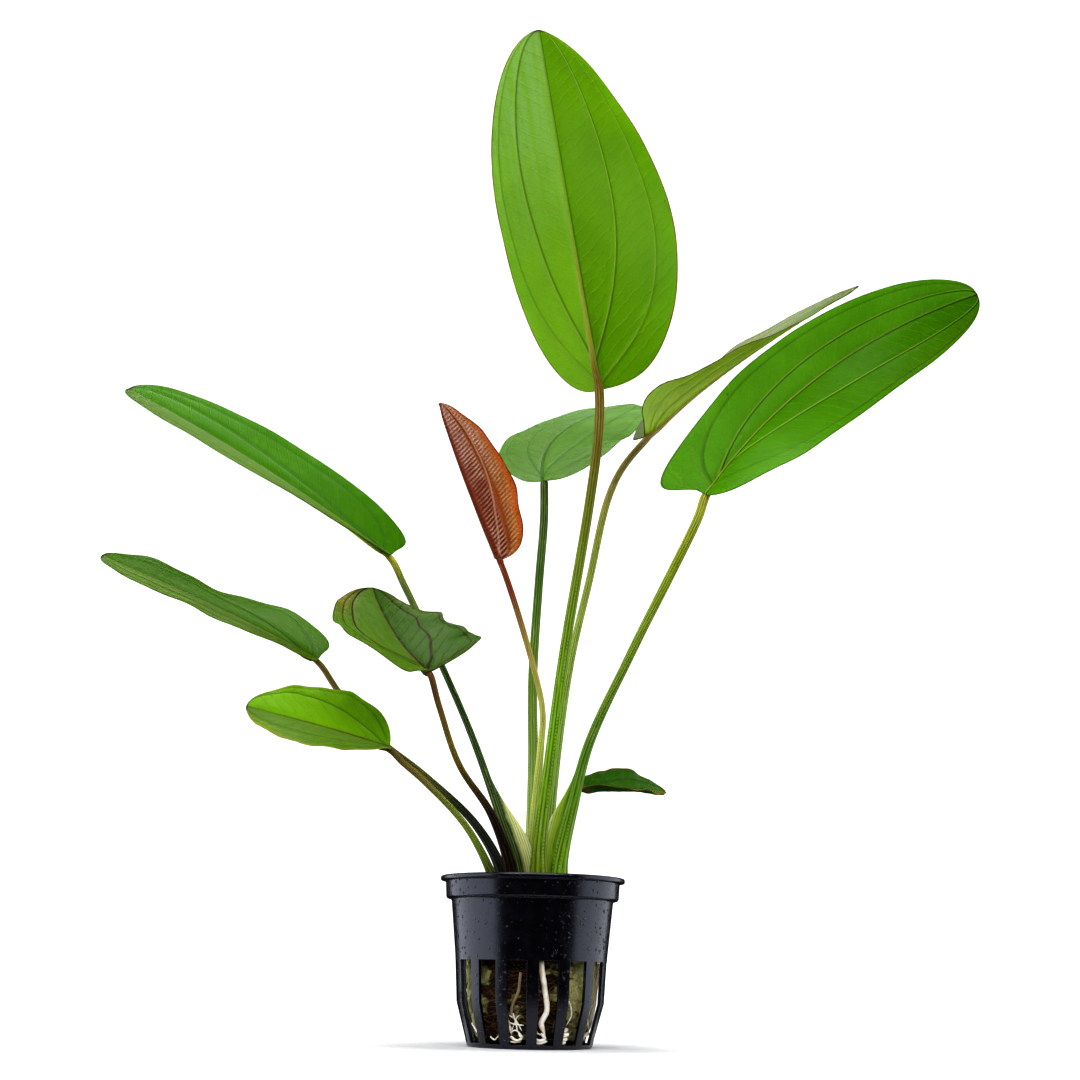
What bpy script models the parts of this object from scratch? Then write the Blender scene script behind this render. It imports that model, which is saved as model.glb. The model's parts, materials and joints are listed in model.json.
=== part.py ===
"""Potted echinodorus: a sword plant of ten leaves rooted in rock wool in a slotted net pot.

The origin is the middle of the pot's base, +Z is up and +X is to the right. Sizes below are in
millimetres and become metres where a mesh is made.
"""

import math
from dataclasses import dataclass

import bmesh
import bpy
import numpy as np
from mathutils import Matrix, Vector

MM = 0.001
GAP = 0.35
MERGE = 0.00001

# Net pot
POT_HEIGHT = 48.5
POT_WALL = 1.0
POT_FLOOR = 1.0
POT_STEPS = 60
RIM_RADIUS = 27.5
RIM_THICKNESS = 1.4
COLLAR_RADIUS = 25.9
COLLAR_HEIGHT = 6.6
SHOULDER_RADIUS = 24.1
WAIST_RADIUS = 21.7
WAIST_HEIGHT = 12.5
MIDDLE_RADIUS = 22.5
MIDDLE_HEIGHT = 26.0
BASE_RADIUS = 18.2
SLOT_COUNT = 15
SLOT_HALF_ANGLE = 7.385
SLOT_PHASE = 13.5
SLOT_BOTTOM = 1.25
SLOT_TOP = 24.3
SLOT_INNER = 15.0
SLOT_OUTER = 25.0
DRAIN_COUNT = 5
DRAIN_INNER = 5.0
DRAIN_OUTER = 12.0
DRAIN_WIDTH = 3.0

# Rock wool plug and crown
WOOL_TOP = 45.6
WOOL_STEPS = 28
WOOL_SLOT_CLEARANCE = 2.4
WOOL_PACKED_FROM = 27.5
CROWN_CENTRE = (-1.2, 0.0)
CROWN_TOP = 44.9
CROWN_RADIUS = 12.4
CROWN_DEPTH = 9.0
CROWN_STEPS = 24

# Leaves
BLADE_THICKNESS = 0.6
BLADE_STATIONS = 13
BLADE_COLUMNS = 6
STEM_STATIONS = 13
STEM_SIDES_RESOLUTION = 2
STEM_TAPER = 3.5
LOBE_REACH = 0.04

# Roots in the space between the wool and the slotted wall
ROOT_STATIONS = 8
ROOT_SIDES_RESOLUTION = 1


@dataclass(frozen=True)
class Leaf:
    """One leaf: its petiole runs from foot through via to base, and its blade from base to tip."""

    foot: tuple
    via: tuple
    base: tuple
    tip: tuple
    facing: tuple  # azimuth and elevation of the upper surface, degrees
    width: float
    stem: tuple  # petiole diameter at the foot and at the blade
    colour: tuple
    stem_colour: tuple
    fold: tuple = (10.0, 10.0)  # how far each half is raised, at the base and at the tip, degrees
    curl: float = 0.0  # extra rise of the margins, as a share of the half width
    bow: float = 0.0  # rise of the midrib's middle towards the upper side
    sweep: float = 0.0  # sideways bend of the midrib towards the right half
    twist: float = 0.0  # turn of the blade about its midrib from base to tip, degrees
    lobes: tuple = (0.03, 0.03)  # how far the left and right lobes reach back, share of the length
    halves: tuple = (1.0, 1.0)  # relative width of the left and right halves
    fullness: tuple = (2.1, 1.8)  # roundness of the base end and of the tip end
    peak: float = 0.44  # where the blade is widest, share of the length


@dataclass(frozen=True)
class Root:
    """One root: angle round the pot from the front in degrees and height, from top to bottom."""

    route: tuple
    diameter: float


LEAVES = (
    Leaf(
        foot=(2.0, -5.6, 45.3),
        via=(
            (1.7, -7.5, 56.5),
            (4.3, -11.0, 82.4),
            (7.9, -14.5, 113.6),
            (14.8, -19.5, 159.3),
            (17.3, -21.4, 182.0),
        ),
        base=(17.6, -22.0, 195.6),
        tip=(-4.0, -40.0, 309.6),
        facing=(86.8, 22.4),
        width=57.3,
        stem=(4.8, 2.9),
        colour=(0.13, 0.33, 0.02),
        stem_colour=(0.16, 0.22, 0.04),
        fold=(9.0, 15.5),
        curl=0.09,
        bow=-1.0,
        sweep=0.3,
        twist=-42.3,
        lobes=(0.007, 0),
        halves=(1.11, 0.81),
        fullness=(2.3, 1.93),
        peak=0.48,
    ),
    Leaf(
        foot=(7.9, -1.4, 45.3),
        via=(
            (7.9, -2.0, 53.0),
            (11.2, -2.5, 69.5),
            (15.9, -3.5, 88.5),
            (27.5, -5.5, 114.2),
            (49.0, -8.0, 158.8),
        ),
        base=(51.4, -8.0, 167.0),
        tip=(140.5, -6.0, 237.6),
        facing=(-79.6, 9.1),
        width=40.3,
        stem=(5.4, 2.8),
        colour=(0.07, 0.26, 0.02),
        stem_colour=(0.14, 0.26, 0.04),
        fold=(26.4, -4.9),
        curl=0.04,
        bow=-1.7,
        sweep=-9.3,
        twist=-54.7,
        lobes=(0.117, 0),
        halves=(0.84, 0.99),
        fullness=(2.24, 2.28),
        peak=0.29,
    ),
    Leaf(
        foot=(3.0, 1.4, 45.3),
        via=(
            (4.0, 1.2, 57.1),
            (6.2, 2.2, 84.1),
            (10.3, 5.5, 115.9),
            (15.9, 9.5, 142.8),
            (22.0, 14.5, 172.0),
            (27.0, 16.5, 183.4),
        ),
        base=(34.2, 18.0, 194.1),
        tip=(115.7, 60.0, 268.7),
        facing=(-133.9, 79.5),
        width=37.1,
        stem=(3.8, 2.6),
        colour=(0.20, 0.32, 0.05),
        stem_colour=(0.19, 0.16, 0.06),
        fold=(33.0, 18.1),
        curl=-0.14,
        bow=1.2,
        sweep=-11.7,
        twist=-46.0,
        lobes=(0.02, 0.03),
        halves=(0.79, 1.0),
        fullness=(3.29, 1.37),
        peak=0.25,
    ),
    Leaf(
        foot=(-1.4, 6.4, 45.3),
        via=(
            (-0.8, 8.4, 57.6),
            (-0.7, 13.0, 83.8),
            (-1.4, 21.0, 111.8),
            (0.0, 31.0, 147.6),
            (1.2, 37.5, 170.3),
        ),
        base=(0.6, 42.0, 185.4),
        tip=(34.3, 95.0, 233.2),
        facing=(-109.0, 60.2),
        width=49.1,
        stem=(4.0, 2.8),
        colour=(0.12, 0.32, 0.08),
        stem_colour=(0.05, 0.13, 0.03),
        fold=(2.1, -1.0),
        curl=-0.06,
        bow=3.6,
        sweep=-10.9,
        twist=-10.9,
        lobes=(0.01, 0.032),
        halves=(0.91, 1.18),
        fullness=(1.81, 1.73),
        peak=0.43,
    ),
    Leaf(
        foot=(-1.6, 1.8, 45.3),
        via=(
            (-0.8, 1.5, 57.0),
            (0.4, 1.1, 71.7),
            (1.7, 0.0, 89.0),
            (2.0, -2.0, 98.5),
            (-1.7, -4.0, 113.9),
        ),
        base=(-12.0, -4.0, 145.3),
        tip=(-32.8, -10.0, 194.5),
        facing=(42.8, 16.8),
        width=30.5,
        stem=(3.2, 2.0),
        colour=(0.30, 0.09, 0.02),
        stem_colour=(0.28, 0.15, 0.05),
        fold=(54.6, 61.2),
        curl=-0.03,
        bow=-0.7,
        sweep=0.5,
        twist=7.2,
        lobes=(0.004, 0.029),
        halves=(0.94, 1.01),
        fullness=(2.27, 1.56),
        peak=0.47,
    ),
    Leaf(
        foot=(-4.6, -1.9, 45.3),
        via=(
            (-5.2, -2.0, 52.5),
            (-10.6, -1.4, 67.5),
            (-18.5, 2.5, 88.6),
            (-29.2, 9.0, 112.5),
            (-43.4, 14.5, 141.0),
        ),
        base=(-48.3, 16.0, 151.3),
        tip=(-140.9, 26.0, 210.2),
        facing=(-77.1, 52.7),
        width=34.7,
        stem=(2.9, 2.3),
        colour=(0.08, 0.25, 0.03),
        stem_colour=(0.12, 0.20, 0.04),
        fold=(21.3, 12.6),
        curl=0.04,
        bow=5.0,
        sweep=-4.6,
        twist=11.2,
        lobes=(0.026, 0.033),
        halves=(1.03, 0.9),
        fullness=(2.51, 2.19),
        peak=0.34,
    ),
    Leaf(
        foot=(-8.9, 2.0, 45.3),
        via=(
            (-10.2, 2.2, 52.5),
            (-17.9, 3.0, 64.6),
            (-33.9, 6.0, 79.2),
            (-50.0, 8.0, 91.5),
            (-62.0, 8.0, 105.0),
        ),
        base=(-69.0, 8.0, 115.0),
        tip=(-137.5, 0.0, 145.2),
        facing=(-82.1, 63.2),
        width=30.7,
        stem=(4.4, 2.0),
        colour=(0.06, 0.20, 0.02),
        stem_colour=(0.04, 0.12, 0.03),
        fold=(18.9, 5.5),
        curl=-0.12,
        bow=-0.1,
        sweep=3.6,
        twist=0.9,
        lobes=(0.029, 0.037),
        halves=(0.91, 1.1),
        fullness=(2.57, 2.42),
        peak=0.35,
    ),
    Leaf(
        foot=(-11.4, -2.0, 45.3),
        via=((-13.0, -2.5, 51.0), (-20.2, -6.5, 63.0), (-32.8, -11.5, 75.4), (-39.2, -13.0, 80.6)),
        base=(-43.2, -14.0, 84.9),
        tip=(-84.5, -26.0, 94.3),
        facing=(-78.2, 47.8),
        width=31.9,
        stem=(3.4, 2.1),
        colour=(0.13, 0.35, 0.02),
        stem_colour=(0.14, 0.12, 0.03),
        fold=(19.1, -0.9),
        curl=0.03,
        bow=0.4,
        sweep=0.2,
        twist=18.2,
        lobes=(0.007, 0.0),
        halves=(0.96, 1.06),
        fullness=(2.37, 1.75),
        peak=0.37,
    ),
    Leaf(
        foot=(-6.8, -5.8, 45.3),
        via=((-7.0, -6.8, 51.5), (-12.8, -11.5, 66.4), (-22.2, -17.0, 79.6), (-28.6, -22.0, 96.5)),
        base=(-31.5, -24.0, 105.9),
        tip=(-51.6, -4.0, 135.6),
        facing=(-66.7, 58.4),
        width=42.1,
        stem=(4.2, 2.0),
        colour=(0.07, 0.20, 0.02),
        stem_colour=(0.08, 0.04, 0.03),
        fold=(26.0, -3.4),
        curl=0.07,
        bow=-2.9,
        sweep=-0.2,
        twist=-11.8,
        lobes=(0.173, 0.008),
        halves=(1.25, 0.95),
        fullness=(2.56, 1.75),
        peak=0.33,
    ),
    Leaf(
        foot=(5.6, 5.2, 45.3),
        via=((6.7, 7.2, 54.4), (8.0, 11.0, 62.2), (10.4, 17.0, 71.1)),
        base=(15.2, 22.0, 78.4),
        tip=(43.3, 48.0, 80.5),
        facing=(-80.4, 52.5),
        width=17.3,
        stem=(2.4, 1.6),
        colour=(0.03, 0.13, 0.02),
        stem_colour=(0.06, 0.14, 0.03),
        fold=(24.3, 12.5),
        curl=0.07,
        bow=1.0,
        sweep=1.9,
        twist=-20.5,
        lobes=(0, 0.073),
        halves=(1.02, 1.0),
        fullness=(1.51, 1.32),
        peak=0.51,
    ),
)

ROOTS = (
    Root(((8.0, 24.2), (11.0, 17.8), (14.3, 12.0), (14.0, 10.2), (10.3, 7.4), (14.5, 3.8)), 1.6),
    Root(((-8.5, 21.0), (-10.0, 16.0), (-15.5, 11.5), (-17.5, 8.0)), 0.9),
    Root(((26.0, 21.0), (25.5, 12.0), (30.0, 4.5)), 1.2),
    Root(((59.0, 24.0), (60.5, 15.0), (61.0, 7.0), (56.0, 3.8)), 1.2),
    Root(((-26.0, 18.0), (-22.5, 10.0), (-17.0, 4.0)), 1.1),
    Root(((-51.0, 24.0), (-52.5, 15.0), (-58.0, 5.0)), 1.1),
    Root(((96.0, 24.0), (103.0, 14.0), (98.0, 4.0)), 1.3),
    Root(((139.0, 24.0), (134.0, 13.0), (142.0, 4.5)), 1.2),
    Root(((-178.0, 24.0), (-172.0, 15.0), (-179.0, 5.0)), 1.3),
    Root(((-131.0, 23.0), (-127.0, 12.0), (-133.0, 4.0)), 1.2),
    Root(((-112.0, 24.0), (-115.0, 13.0), (-110.0, 4.0)), 1.2),
)


def clear_scene():
    """Start from an empty scene."""
    for obj in list(bpy.data.objects):
        bpy.data.objects.remove(obj, do_unlink=True)


def new_collection(name):
    """A collection linked to the scene."""
    collection = bpy.data.collections.new(name)
    bpy.context.scene.collection.children.link(collection)
    return collection


def principled(name, colour, roughness, metallic=0.0):
    """A plain Principled material."""
    material = bpy.data.materials.new(name)
    material.use_nodes = True
    shader = material.node_tree.nodes["Principled BSDF"]
    shader.inputs["Base Color"].default_value = (*colour, 1.0)
    shader.inputs["Roughness"].default_value = roughness
    shader.inputs["Metallic"].default_value = metallic
    return material


def place(name, data, material, collection):
    """An object of the data, dressed and filed in its collection."""
    obj = bpy.data.objects.new(name, data)
    collection.objects.link(obj)
    if material:
        data.materials.append(material)
    return obj


def shade(mesh, angle=40.0):
    """Smooth shading that keeps the edges sharper than the angle."""
    mesh.shade_smooth()
    mesh.set_sharp_from_angle(angle=math.radians(angle))


def turned(name, profile, steps, material, collection):
    """A body turned about Z from a profile of (radius, height) pairs in millimetres."""
    bm = bmesh.new()
    verts = [bm.verts.new((r * MM, 0.0, z * MM)) for r, z in profile]
    for a, b in zip(verts, verts[1:]):
        bm.edges.new((a, b))
    mesh = bpy.data.meshes.new(name)
    bm.to_mesh(mesh)
    bm.free()
    obj = place(name, mesh, material, collection)
    screw = obj.modifiers.new("Screw", "SCREW")
    screw.axis = "Z"
    screw.angle = math.tau
    screw.steps = steps
    screw.render_steps = steps
    screw.use_merge_vertices = True
    screw.merge_threshold = MERGE
    return obj


def smooth_route(points, count):
    """Evenly spaced points on a smooth curve through the given ones."""
    pts = [np.array(p, float) for p in points]
    pts = [2 * pts[0] - pts[1], *pts, 2 * pts[-1] - pts[-2]]
    dense = []
    for a, b, c, d in zip(pts, pts[1:], pts[2:], pts[3:]):
        k = [0.0]
        for p, q in ((a, b), (b, c), (c, d)):
            k.append(k[-1] + max(np.linalg.norm(q - p), 1e-6) ** 0.5)
        for t in np.linspace(k[1], k[2], 24, endpoint=False):
            ab = a + (b - a) * (t - k[0]) / (k[1] - k[0])
            bc = b + (c - b) * (t - k[1]) / (k[2] - k[1])
            cd = c + (d - c) * (t - k[2]) / (k[3] - k[2])
            abc = ab + (bc - ab) * (t - k[0]) / (k[2] - k[0])
            bcd = bc + (cd - bc) * (t - k[1]) / (k[3] - k[1])
            dense.append(abc + (bcd - abc) * (t - k[1]) / (k[2] - k[1]))
    dense = np.array([*dense, pts[-2]])
    run = np.r_[0.0, np.cumsum(np.linalg.norm(np.diff(dense, axis=0), axis=1))]
    at = np.linspace(0.0, run[-1], count)
    return np.stack([np.interp(at, run, dense[:, axis]) for axis in range(3)], 1)


def tube(name, points, radii, resolution, material, collection):
    """A round tube along the points, with its own radius at each, all in millimetres."""
    curve = bpy.data.curves.new(name, "CURVE")
    curve.dimensions = "3D"
    curve.bevel_depth = MM
    curve.bevel_resolution = resolution
    curve.use_fill_caps = True
    spline = curve.splines.new("POLY")
    spline.points.add(len(points) - 1)
    for point, co, radius in zip(spline.points, points, radii):
        point.co = (*(co * MM), 1.0)
        point.radius = radius
    return place(name, curve, material, collection)


def wall_radius(z):
    """Radius of the pot's outer wall at a height below the collar."""
    heights = (0.0, WAIST_HEIGHT, MIDDLE_HEIGHT, POT_HEIGHT - COLLAR_HEIGHT)
    return float(np.interp(z, heights, (BASE_RADIUS, WAIST_RADIUS, MIDDLE_RADIUS, SHOULDER_RADIUS)))


def build_pot(collection, cutters):
    """The net pot: a turned shell with upright slots round its wall and drain slots in its floor."""
    shoulder = POT_HEIGHT - COLLAR_HEIGHT
    under_rim = POT_HEIGHT - RIM_THICKNESS
    inner_mouth = COLLAR_RADIUS - POT_WALL
    profile = (
        (0.0, POT_FLOOR),
        (wall_radius(POT_FLOOR) - POT_WALL, POT_FLOOR),
        (WAIST_RADIUS - POT_WALL, WAIST_HEIGHT),
        (MIDDLE_RADIUS - POT_WALL, MIDDLE_HEIGHT),
        (SHOULDER_RADIUS - POT_WALL, shoulder - 0.4),
        (inner_mouth - 0.3, shoulder + 1.0),
        (inner_mouth, POT_HEIGHT),
        (RIM_RADIUS - 0.3, POT_HEIGHT),
        (RIM_RADIUS, POT_HEIGHT - 0.3),
        (RIM_RADIUS, under_rim),
        (COLLAR_RADIUS, under_rim),
        (COLLAR_RADIUS - 0.2, shoulder + 0.4),
        (COLLAR_RADIUS - 0.6, shoulder),
        (SHOULDER_RADIUS, shoulder - 0.4),
        (MIDDLE_RADIUS, MIDDLE_HEIGHT),
        (WAIST_RADIUS, WAIST_HEIGHT),
        (BASE_RADIUS + 0.15, 0.5),
        (BASE_RADIUS - 0.4, 0.0),
        (0.0, 0.0),
    )
    material = principled("black_plastic", (0.012, 0.012, 0.014), 0.35)
    pot = turned("net_pot", profile, POT_STEPS, material, collection)

    bm = bmesh.new()
    middle = (SLOT_INNER + SLOT_OUTER) / 2
    depth = SLOT_OUTER - SLOT_INNER
    slot_width = 2 * middle * math.tan(math.radians(SLOT_HALF_ANGLE))
    height = SLOT_TOP - SLOT_BOTTOM
    for i in range(SLOT_COUNT):
        slot = bmesh.ops.create_cube(bm, size=1.0)["verts"]
        for v in slot:
            v.co.x = middle + v.co.x * depth
            v.co.y *= slot_width * v.co.x / middle
            v.co.z = SLOT_BOTTOM + (v.co.z + 0.5) * height
        turn = math.radians(SLOT_PHASE - 90.0 + i * 360.0 / SLOT_COUNT)
        bmesh.ops.rotate(bm, verts=slot, matrix=Matrix.Rotation(turn, 3, "Z"))
    for i in range(DRAIN_COUNT):
        drain = bmesh.ops.create_cube(bm, size=1.0)["verts"]
        for v in drain:
            v.co.x = DRAIN_INNER + (v.co.x + 0.5) * (DRAIN_OUTER - DRAIN_INNER)
            v.co.y *= DRAIN_WIDTH
            v.co.z *= 4 * POT_FLOOR
        bmesh.ops.rotate(bm, verts=drain, matrix=Matrix.Rotation(i * math.tau / DRAIN_COUNT, 3, "Z"))
    bmesh.ops.scale(bm, vec=(MM, MM, MM), verts=bm.verts)
    mesh = bpy.data.meshes.new("slot_cutter")
    bm.to_mesh(mesh)
    bm.free()
    cutter = place("slot_cutter", mesh, None, cutters)
    cutter.hide_render = True
    cutter.display_type = "WIRE"
    cut = pot.modifiers.new("Slots", "BOOLEAN")
    cut.operation = "DIFFERENCE"
    cut.solver = "EXACT"
    cut.object = cutter
    return pot


def build_wool(collection):
    """The rock wool plug: packed against the wall above the slots, and clear of it beside the roots."""
    def inner(z, clearance):
        return wall_radius(z) - POT_WALL - clearance

    well = CROWN_RADIUS + abs(CROWN_CENTRE[0]) + GAP
    well_floor = CROWN_TOP - CROWN_DEPTH - GAP
    packed_top = WOOL_TOP - 4.5
    profile = (
        (0.0, well_floor),
        (well - 5.0, well_floor),
        (well, well_floor + 4.0),
        (well, WOOL_TOP - 0.6),
        (well + 0.6, WOOL_TOP),
        (inner(packed_top, GAP) - 0.8, WOOL_TOP),
        (inner(packed_top, GAP), WOOL_TOP - 0.8),
        (inner(packed_top, GAP), packed_top),
        (inner(WOOL_PACKED_FROM, GAP), WOOL_PACKED_FROM),
        (inner(WOOL_PACKED_FROM - 2.5, WOOL_SLOT_CLEARANCE), WOOL_PACKED_FROM - 2.5),
        (inner(WAIST_HEIGHT, WOOL_SLOT_CLEARANCE), WAIST_HEIGHT),
        (inner(POT_FLOOR, WOOL_SLOT_CLEARANCE), POT_FLOOR + 1.5),
        (inner(POT_FLOOR, WOOL_SLOT_CLEARANCE) - 1.5, POT_FLOOR + GAP),
        (0.0, POT_FLOOR + GAP),
    )
    material = principled("rock_wool", (0.16, 0.15, 0.06), 0.95)
    return turned("rock_wool", profile, WOOL_STEPS, material, collection)


def build_crown(collection):
    """The crown: the short rootstock that the leaves rise from, set in the wool's well."""
    rise = 1.0
    profile = (
        (0.0, CROWN_TOP),
        (CROWN_RADIUS - rise, CROWN_TOP),
        (CROWN_RADIUS, CROWN_TOP - rise),
        (CROWN_RADIUS - 3.0, CROWN_TOP - 0.7 * CROWN_DEPTH),
        (CROWN_RADIUS - 6.0, CROWN_TOP - CROWN_DEPTH),
        (0.0, CROWN_TOP - CROWN_DEPTH),
    )
    material = principled("crown", (0.17, 0.13, 0.06), 0.7)
    crown = turned("crown", profile, CROWN_STEPS, material, collection)
    crown.location = (CROWN_CENTRE[0] * MM, CROWN_CENTRE[1] * MM, 0.0)
    return crown


def half_width(t, peak, base_full, tip_full):
    """Share of the blade's half width at t, nought at both ends and one at the peak."""
    if t < peak:
        x, full = (peak - t) / peak, base_full
    else:
        x, full = (t - peak) / (1.0 - peak), tip_full
    return max(1.0 - x**full, 0.0) ** (1.0 / full)


def unit(vector):
    """The vector at length one."""
    return vector / np.linalg.norm(vector)


def blade_point(leaf, t, across):
    """A point of the blade's middle surface, in millimetres.

    t runs from the base to the tip, and across from -1 at the left margin to 1 at the right one.
    """
    base = np.array(leaf.base)
    chord = np.array(leaf.tip) - base
    length = np.linalg.norm(chord)
    along = chord / length
    azimuth, elevation = (math.radians(a) for a in leaf.facing)
    facing = np.array((
        math.cos(azimuth) * math.cos(elevation),
        math.sin(azimuth) * math.cos(elevation),
        math.sin(elevation),
    ))
    side = unit(np.cross(along, facing))
    normal = np.cross(side, along)
    arch = 4.0 * t * (1.0 - t)
    midrib = base + along * t * length + normal * arch * leaf.bow + side * arch * leaf.sweep
    turn = math.radians(leaf.twist) * (t - 0.5)
    right = side * math.cos(turn) + normal * math.sin(turn)
    up = normal * math.cos(turn) - side * math.sin(turn)
    half = int(across > 0.0)
    reach = abs(across)
    span = leaf.width / 2 * half_width(t, leaf.peak, *leaf.fullness) * leaf.halves[half]
    fold = math.radians(leaf.fold[0] + (leaf.fold[1] - leaf.fold[0]) * t)
    rise = reach * span * math.sin(fold) + leaf.curl * span * reach**2
    back = leaf.lobes[half] * length * reach**1.5 * t / LOBE_REACH * math.exp(1.0 - t / LOBE_REACH)
    return midrib + right * across * span * math.cos(fold) + up * rise - along * back


def build_blade(number, leaf, collection):
    """A leaf blade: a grid laid on the blade's surface and given its thickness."""
    bm = bmesh.new()
    grid = bmesh.ops.create_grid(bm, x_segments=BLADE_STATIONS, y_segments=BLADE_COLUMNS, size=1.0)
    for v in grid["verts"]:
        t = (1.0 - math.cos(math.pi * (v.co.x + 1.0) / 2)) / 2
        v.co = Vector(blade_point(leaf, t, -v.co.y) * MM)
    bmesh.ops.remove_doubles(bm, verts=bm.verts, dist=MERGE)
    mesh = bpy.data.meshes.new(f"leaf_{number}")
    bm.to_mesh(mesh)
    bm.free()
    shade(mesh, 60.0)
    material = principled(f"leaf_{number}", leaf.colour, 0.4)
    blade = place(f"leaf_{number}", mesh, material, collection)
    solidify = blade.modifiers.new("Solidify", "SOLIDIFY")
    solidify.thickness = BLADE_THICKNESS * MM
    solidify.offset = 0.0
    return blade


def build_stem(number, leaf, collection):
    """A petiole: a tube that thins from the crown to the blade and stops just short of it."""
    foot = np.array(leaf.foot)
    points = [foot, foot + (0.0, 0.0, 1.0), *leaf.via, np.array(leaf.base)]
    route = smooth_route(points, 60)
    end = unit(route[-1] - route[-2])
    points[-1] = points[-1] - end * (GAP + BLADE_THICKNESS)
    route = smooth_route(points, STEM_STATIONS)
    share = np.linspace(1.0, 0.0, STEM_STATIONS) ** STEM_TAPER
    wide, thin = leaf.stem
    radii = (thin + (wide - thin) * share) / 2
    material = principled(f"stem_{number}", leaf.stem_colour, 0.45)
    return tube(f"stem_{number}", route, radii, STEM_SIDES_RESOLUTION, material, collection)


def build_root(number, root, collection):
    """A root that runs down between the wool and the slotted wall."""
    points = []
    for angle, z in root.route:
        radius = wall_radius(z) - POT_WALL - WOOL_SLOT_CLEARANCE / 2
        turn = math.radians(angle)
        points.append((radius * math.sin(turn), -radius * math.cos(turn), z))
    route = smooth_route(points, ROOT_STATIONS)
    for point in route:
        clear = wall_radius(point[2]) - POT_WALL - WOOL_SLOT_CLEARANCE / 2
        point[:2] *= clear / np.hypot(*point[:2])
    radii = np.full(ROOT_STATIONS, root.diameter / 2)
    radii[-1] *= 0.5
    material = principled(f"root_{number}", (0.62, 0.55, 0.38), 0.5)
    return tube(f"root_{number}", route, radii, ROOT_SIDES_RESOLUTION, material, collection)


def main():
    """Build every piece of the plant and its pot."""
    clear_scene()
    plant = new_collection("potted_echinodorus")
    cutters = new_collection("cutters")
    build_pot(plant, cutters)
    build_wool(plant)
    build_crown(plant)
    for number, leaf in enumerate(LEAVES, 1):
        build_stem(number, leaf, plant)
        build_blade(number, leaf, plant)
    for number, root in enumerate(ROOTS, 1):
        build_root(number, root, plant)


main()
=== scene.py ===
"""Looks of the potted echinodorus: net pot, rock wool, crown, ten leaves and roots in a pale studio.

Sizes are in millimetres unless a name says otherwise, and become metres where a mesh is made.
"""

import json
import logging
import math
from dataclasses import dataclass
from enum import Enum

import bmesh
import bpy
import numpy as np
from mathutils import Matrix, Vector, noise


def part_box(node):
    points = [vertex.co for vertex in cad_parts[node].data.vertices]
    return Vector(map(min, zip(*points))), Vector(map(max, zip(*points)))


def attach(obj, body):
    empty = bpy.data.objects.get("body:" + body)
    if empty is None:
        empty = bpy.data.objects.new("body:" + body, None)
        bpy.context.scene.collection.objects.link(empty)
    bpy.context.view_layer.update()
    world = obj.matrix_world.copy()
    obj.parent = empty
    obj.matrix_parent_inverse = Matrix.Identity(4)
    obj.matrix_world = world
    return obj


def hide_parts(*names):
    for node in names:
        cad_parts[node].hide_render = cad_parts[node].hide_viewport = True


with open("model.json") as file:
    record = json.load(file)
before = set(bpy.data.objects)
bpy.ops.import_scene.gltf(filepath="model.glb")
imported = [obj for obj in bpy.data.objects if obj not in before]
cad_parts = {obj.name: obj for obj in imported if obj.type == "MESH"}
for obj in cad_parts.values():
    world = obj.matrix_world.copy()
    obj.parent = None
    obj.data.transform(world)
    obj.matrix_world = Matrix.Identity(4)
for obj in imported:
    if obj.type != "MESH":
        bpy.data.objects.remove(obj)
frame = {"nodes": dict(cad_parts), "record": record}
LOG = logging.getLogger("echinodorus")
MM = 0.001
MERGE = 0.00002
BODY = "root"
RIBS = 11  # round a petiole, in its mesh and in its skin

Colour = tuple[float, float, float]
Point = tuple[float, float, float]


def tint(red: float, green: float, blue: float) -> Colour:
    """The linear colour of an 8-bit screen colour."""
    shares = (channel / 255.0 for channel in (red, green, blue))
    return tuple(((c + 0.055) / 1.055) ** 2.4 if c > 0.04045 else c / 12.92 for c in shares)


def unit(vector: np.ndarray) -> np.ndarray:
    """The vector, or each row of an array of them, at length one."""
    return vector / np.maximum(np.linalg.norm(vector, axis=-1, keepdims=True), 1e-12)


def smoothstep(value: np.ndarray, low: float, high: float) -> np.ndarray:
    """Nought below low, one above high and a smooth rise between."""
    share = np.clip((value - low) / (high - low), 0.0, 1.0)
    return share * share * (3.0 - 2.0 * share)


def direction(azimuth: float, elevation: float) -> np.ndarray:
    """Turn two angles into a direction.

    Args:
        azimuth: degrees about Z, from the X axis.
        elevation: degrees above the level.

    Returns:
        The unit vector.
    """
    azimuth, elevation = math.radians(azimuth), math.radians(elevation)
    level = math.cos(elevation)
    return np.array((math.cos(azimuth) * level, math.sin(azimuth) * level, math.sin(elevation)))


def run_along(route: np.ndarray) -> np.ndarray:
    """The length of a route up to each of its points."""
    return np.r_[0.0, np.cumsum(np.linalg.norm(np.diff(route, axis=0), axis=1))]


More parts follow.
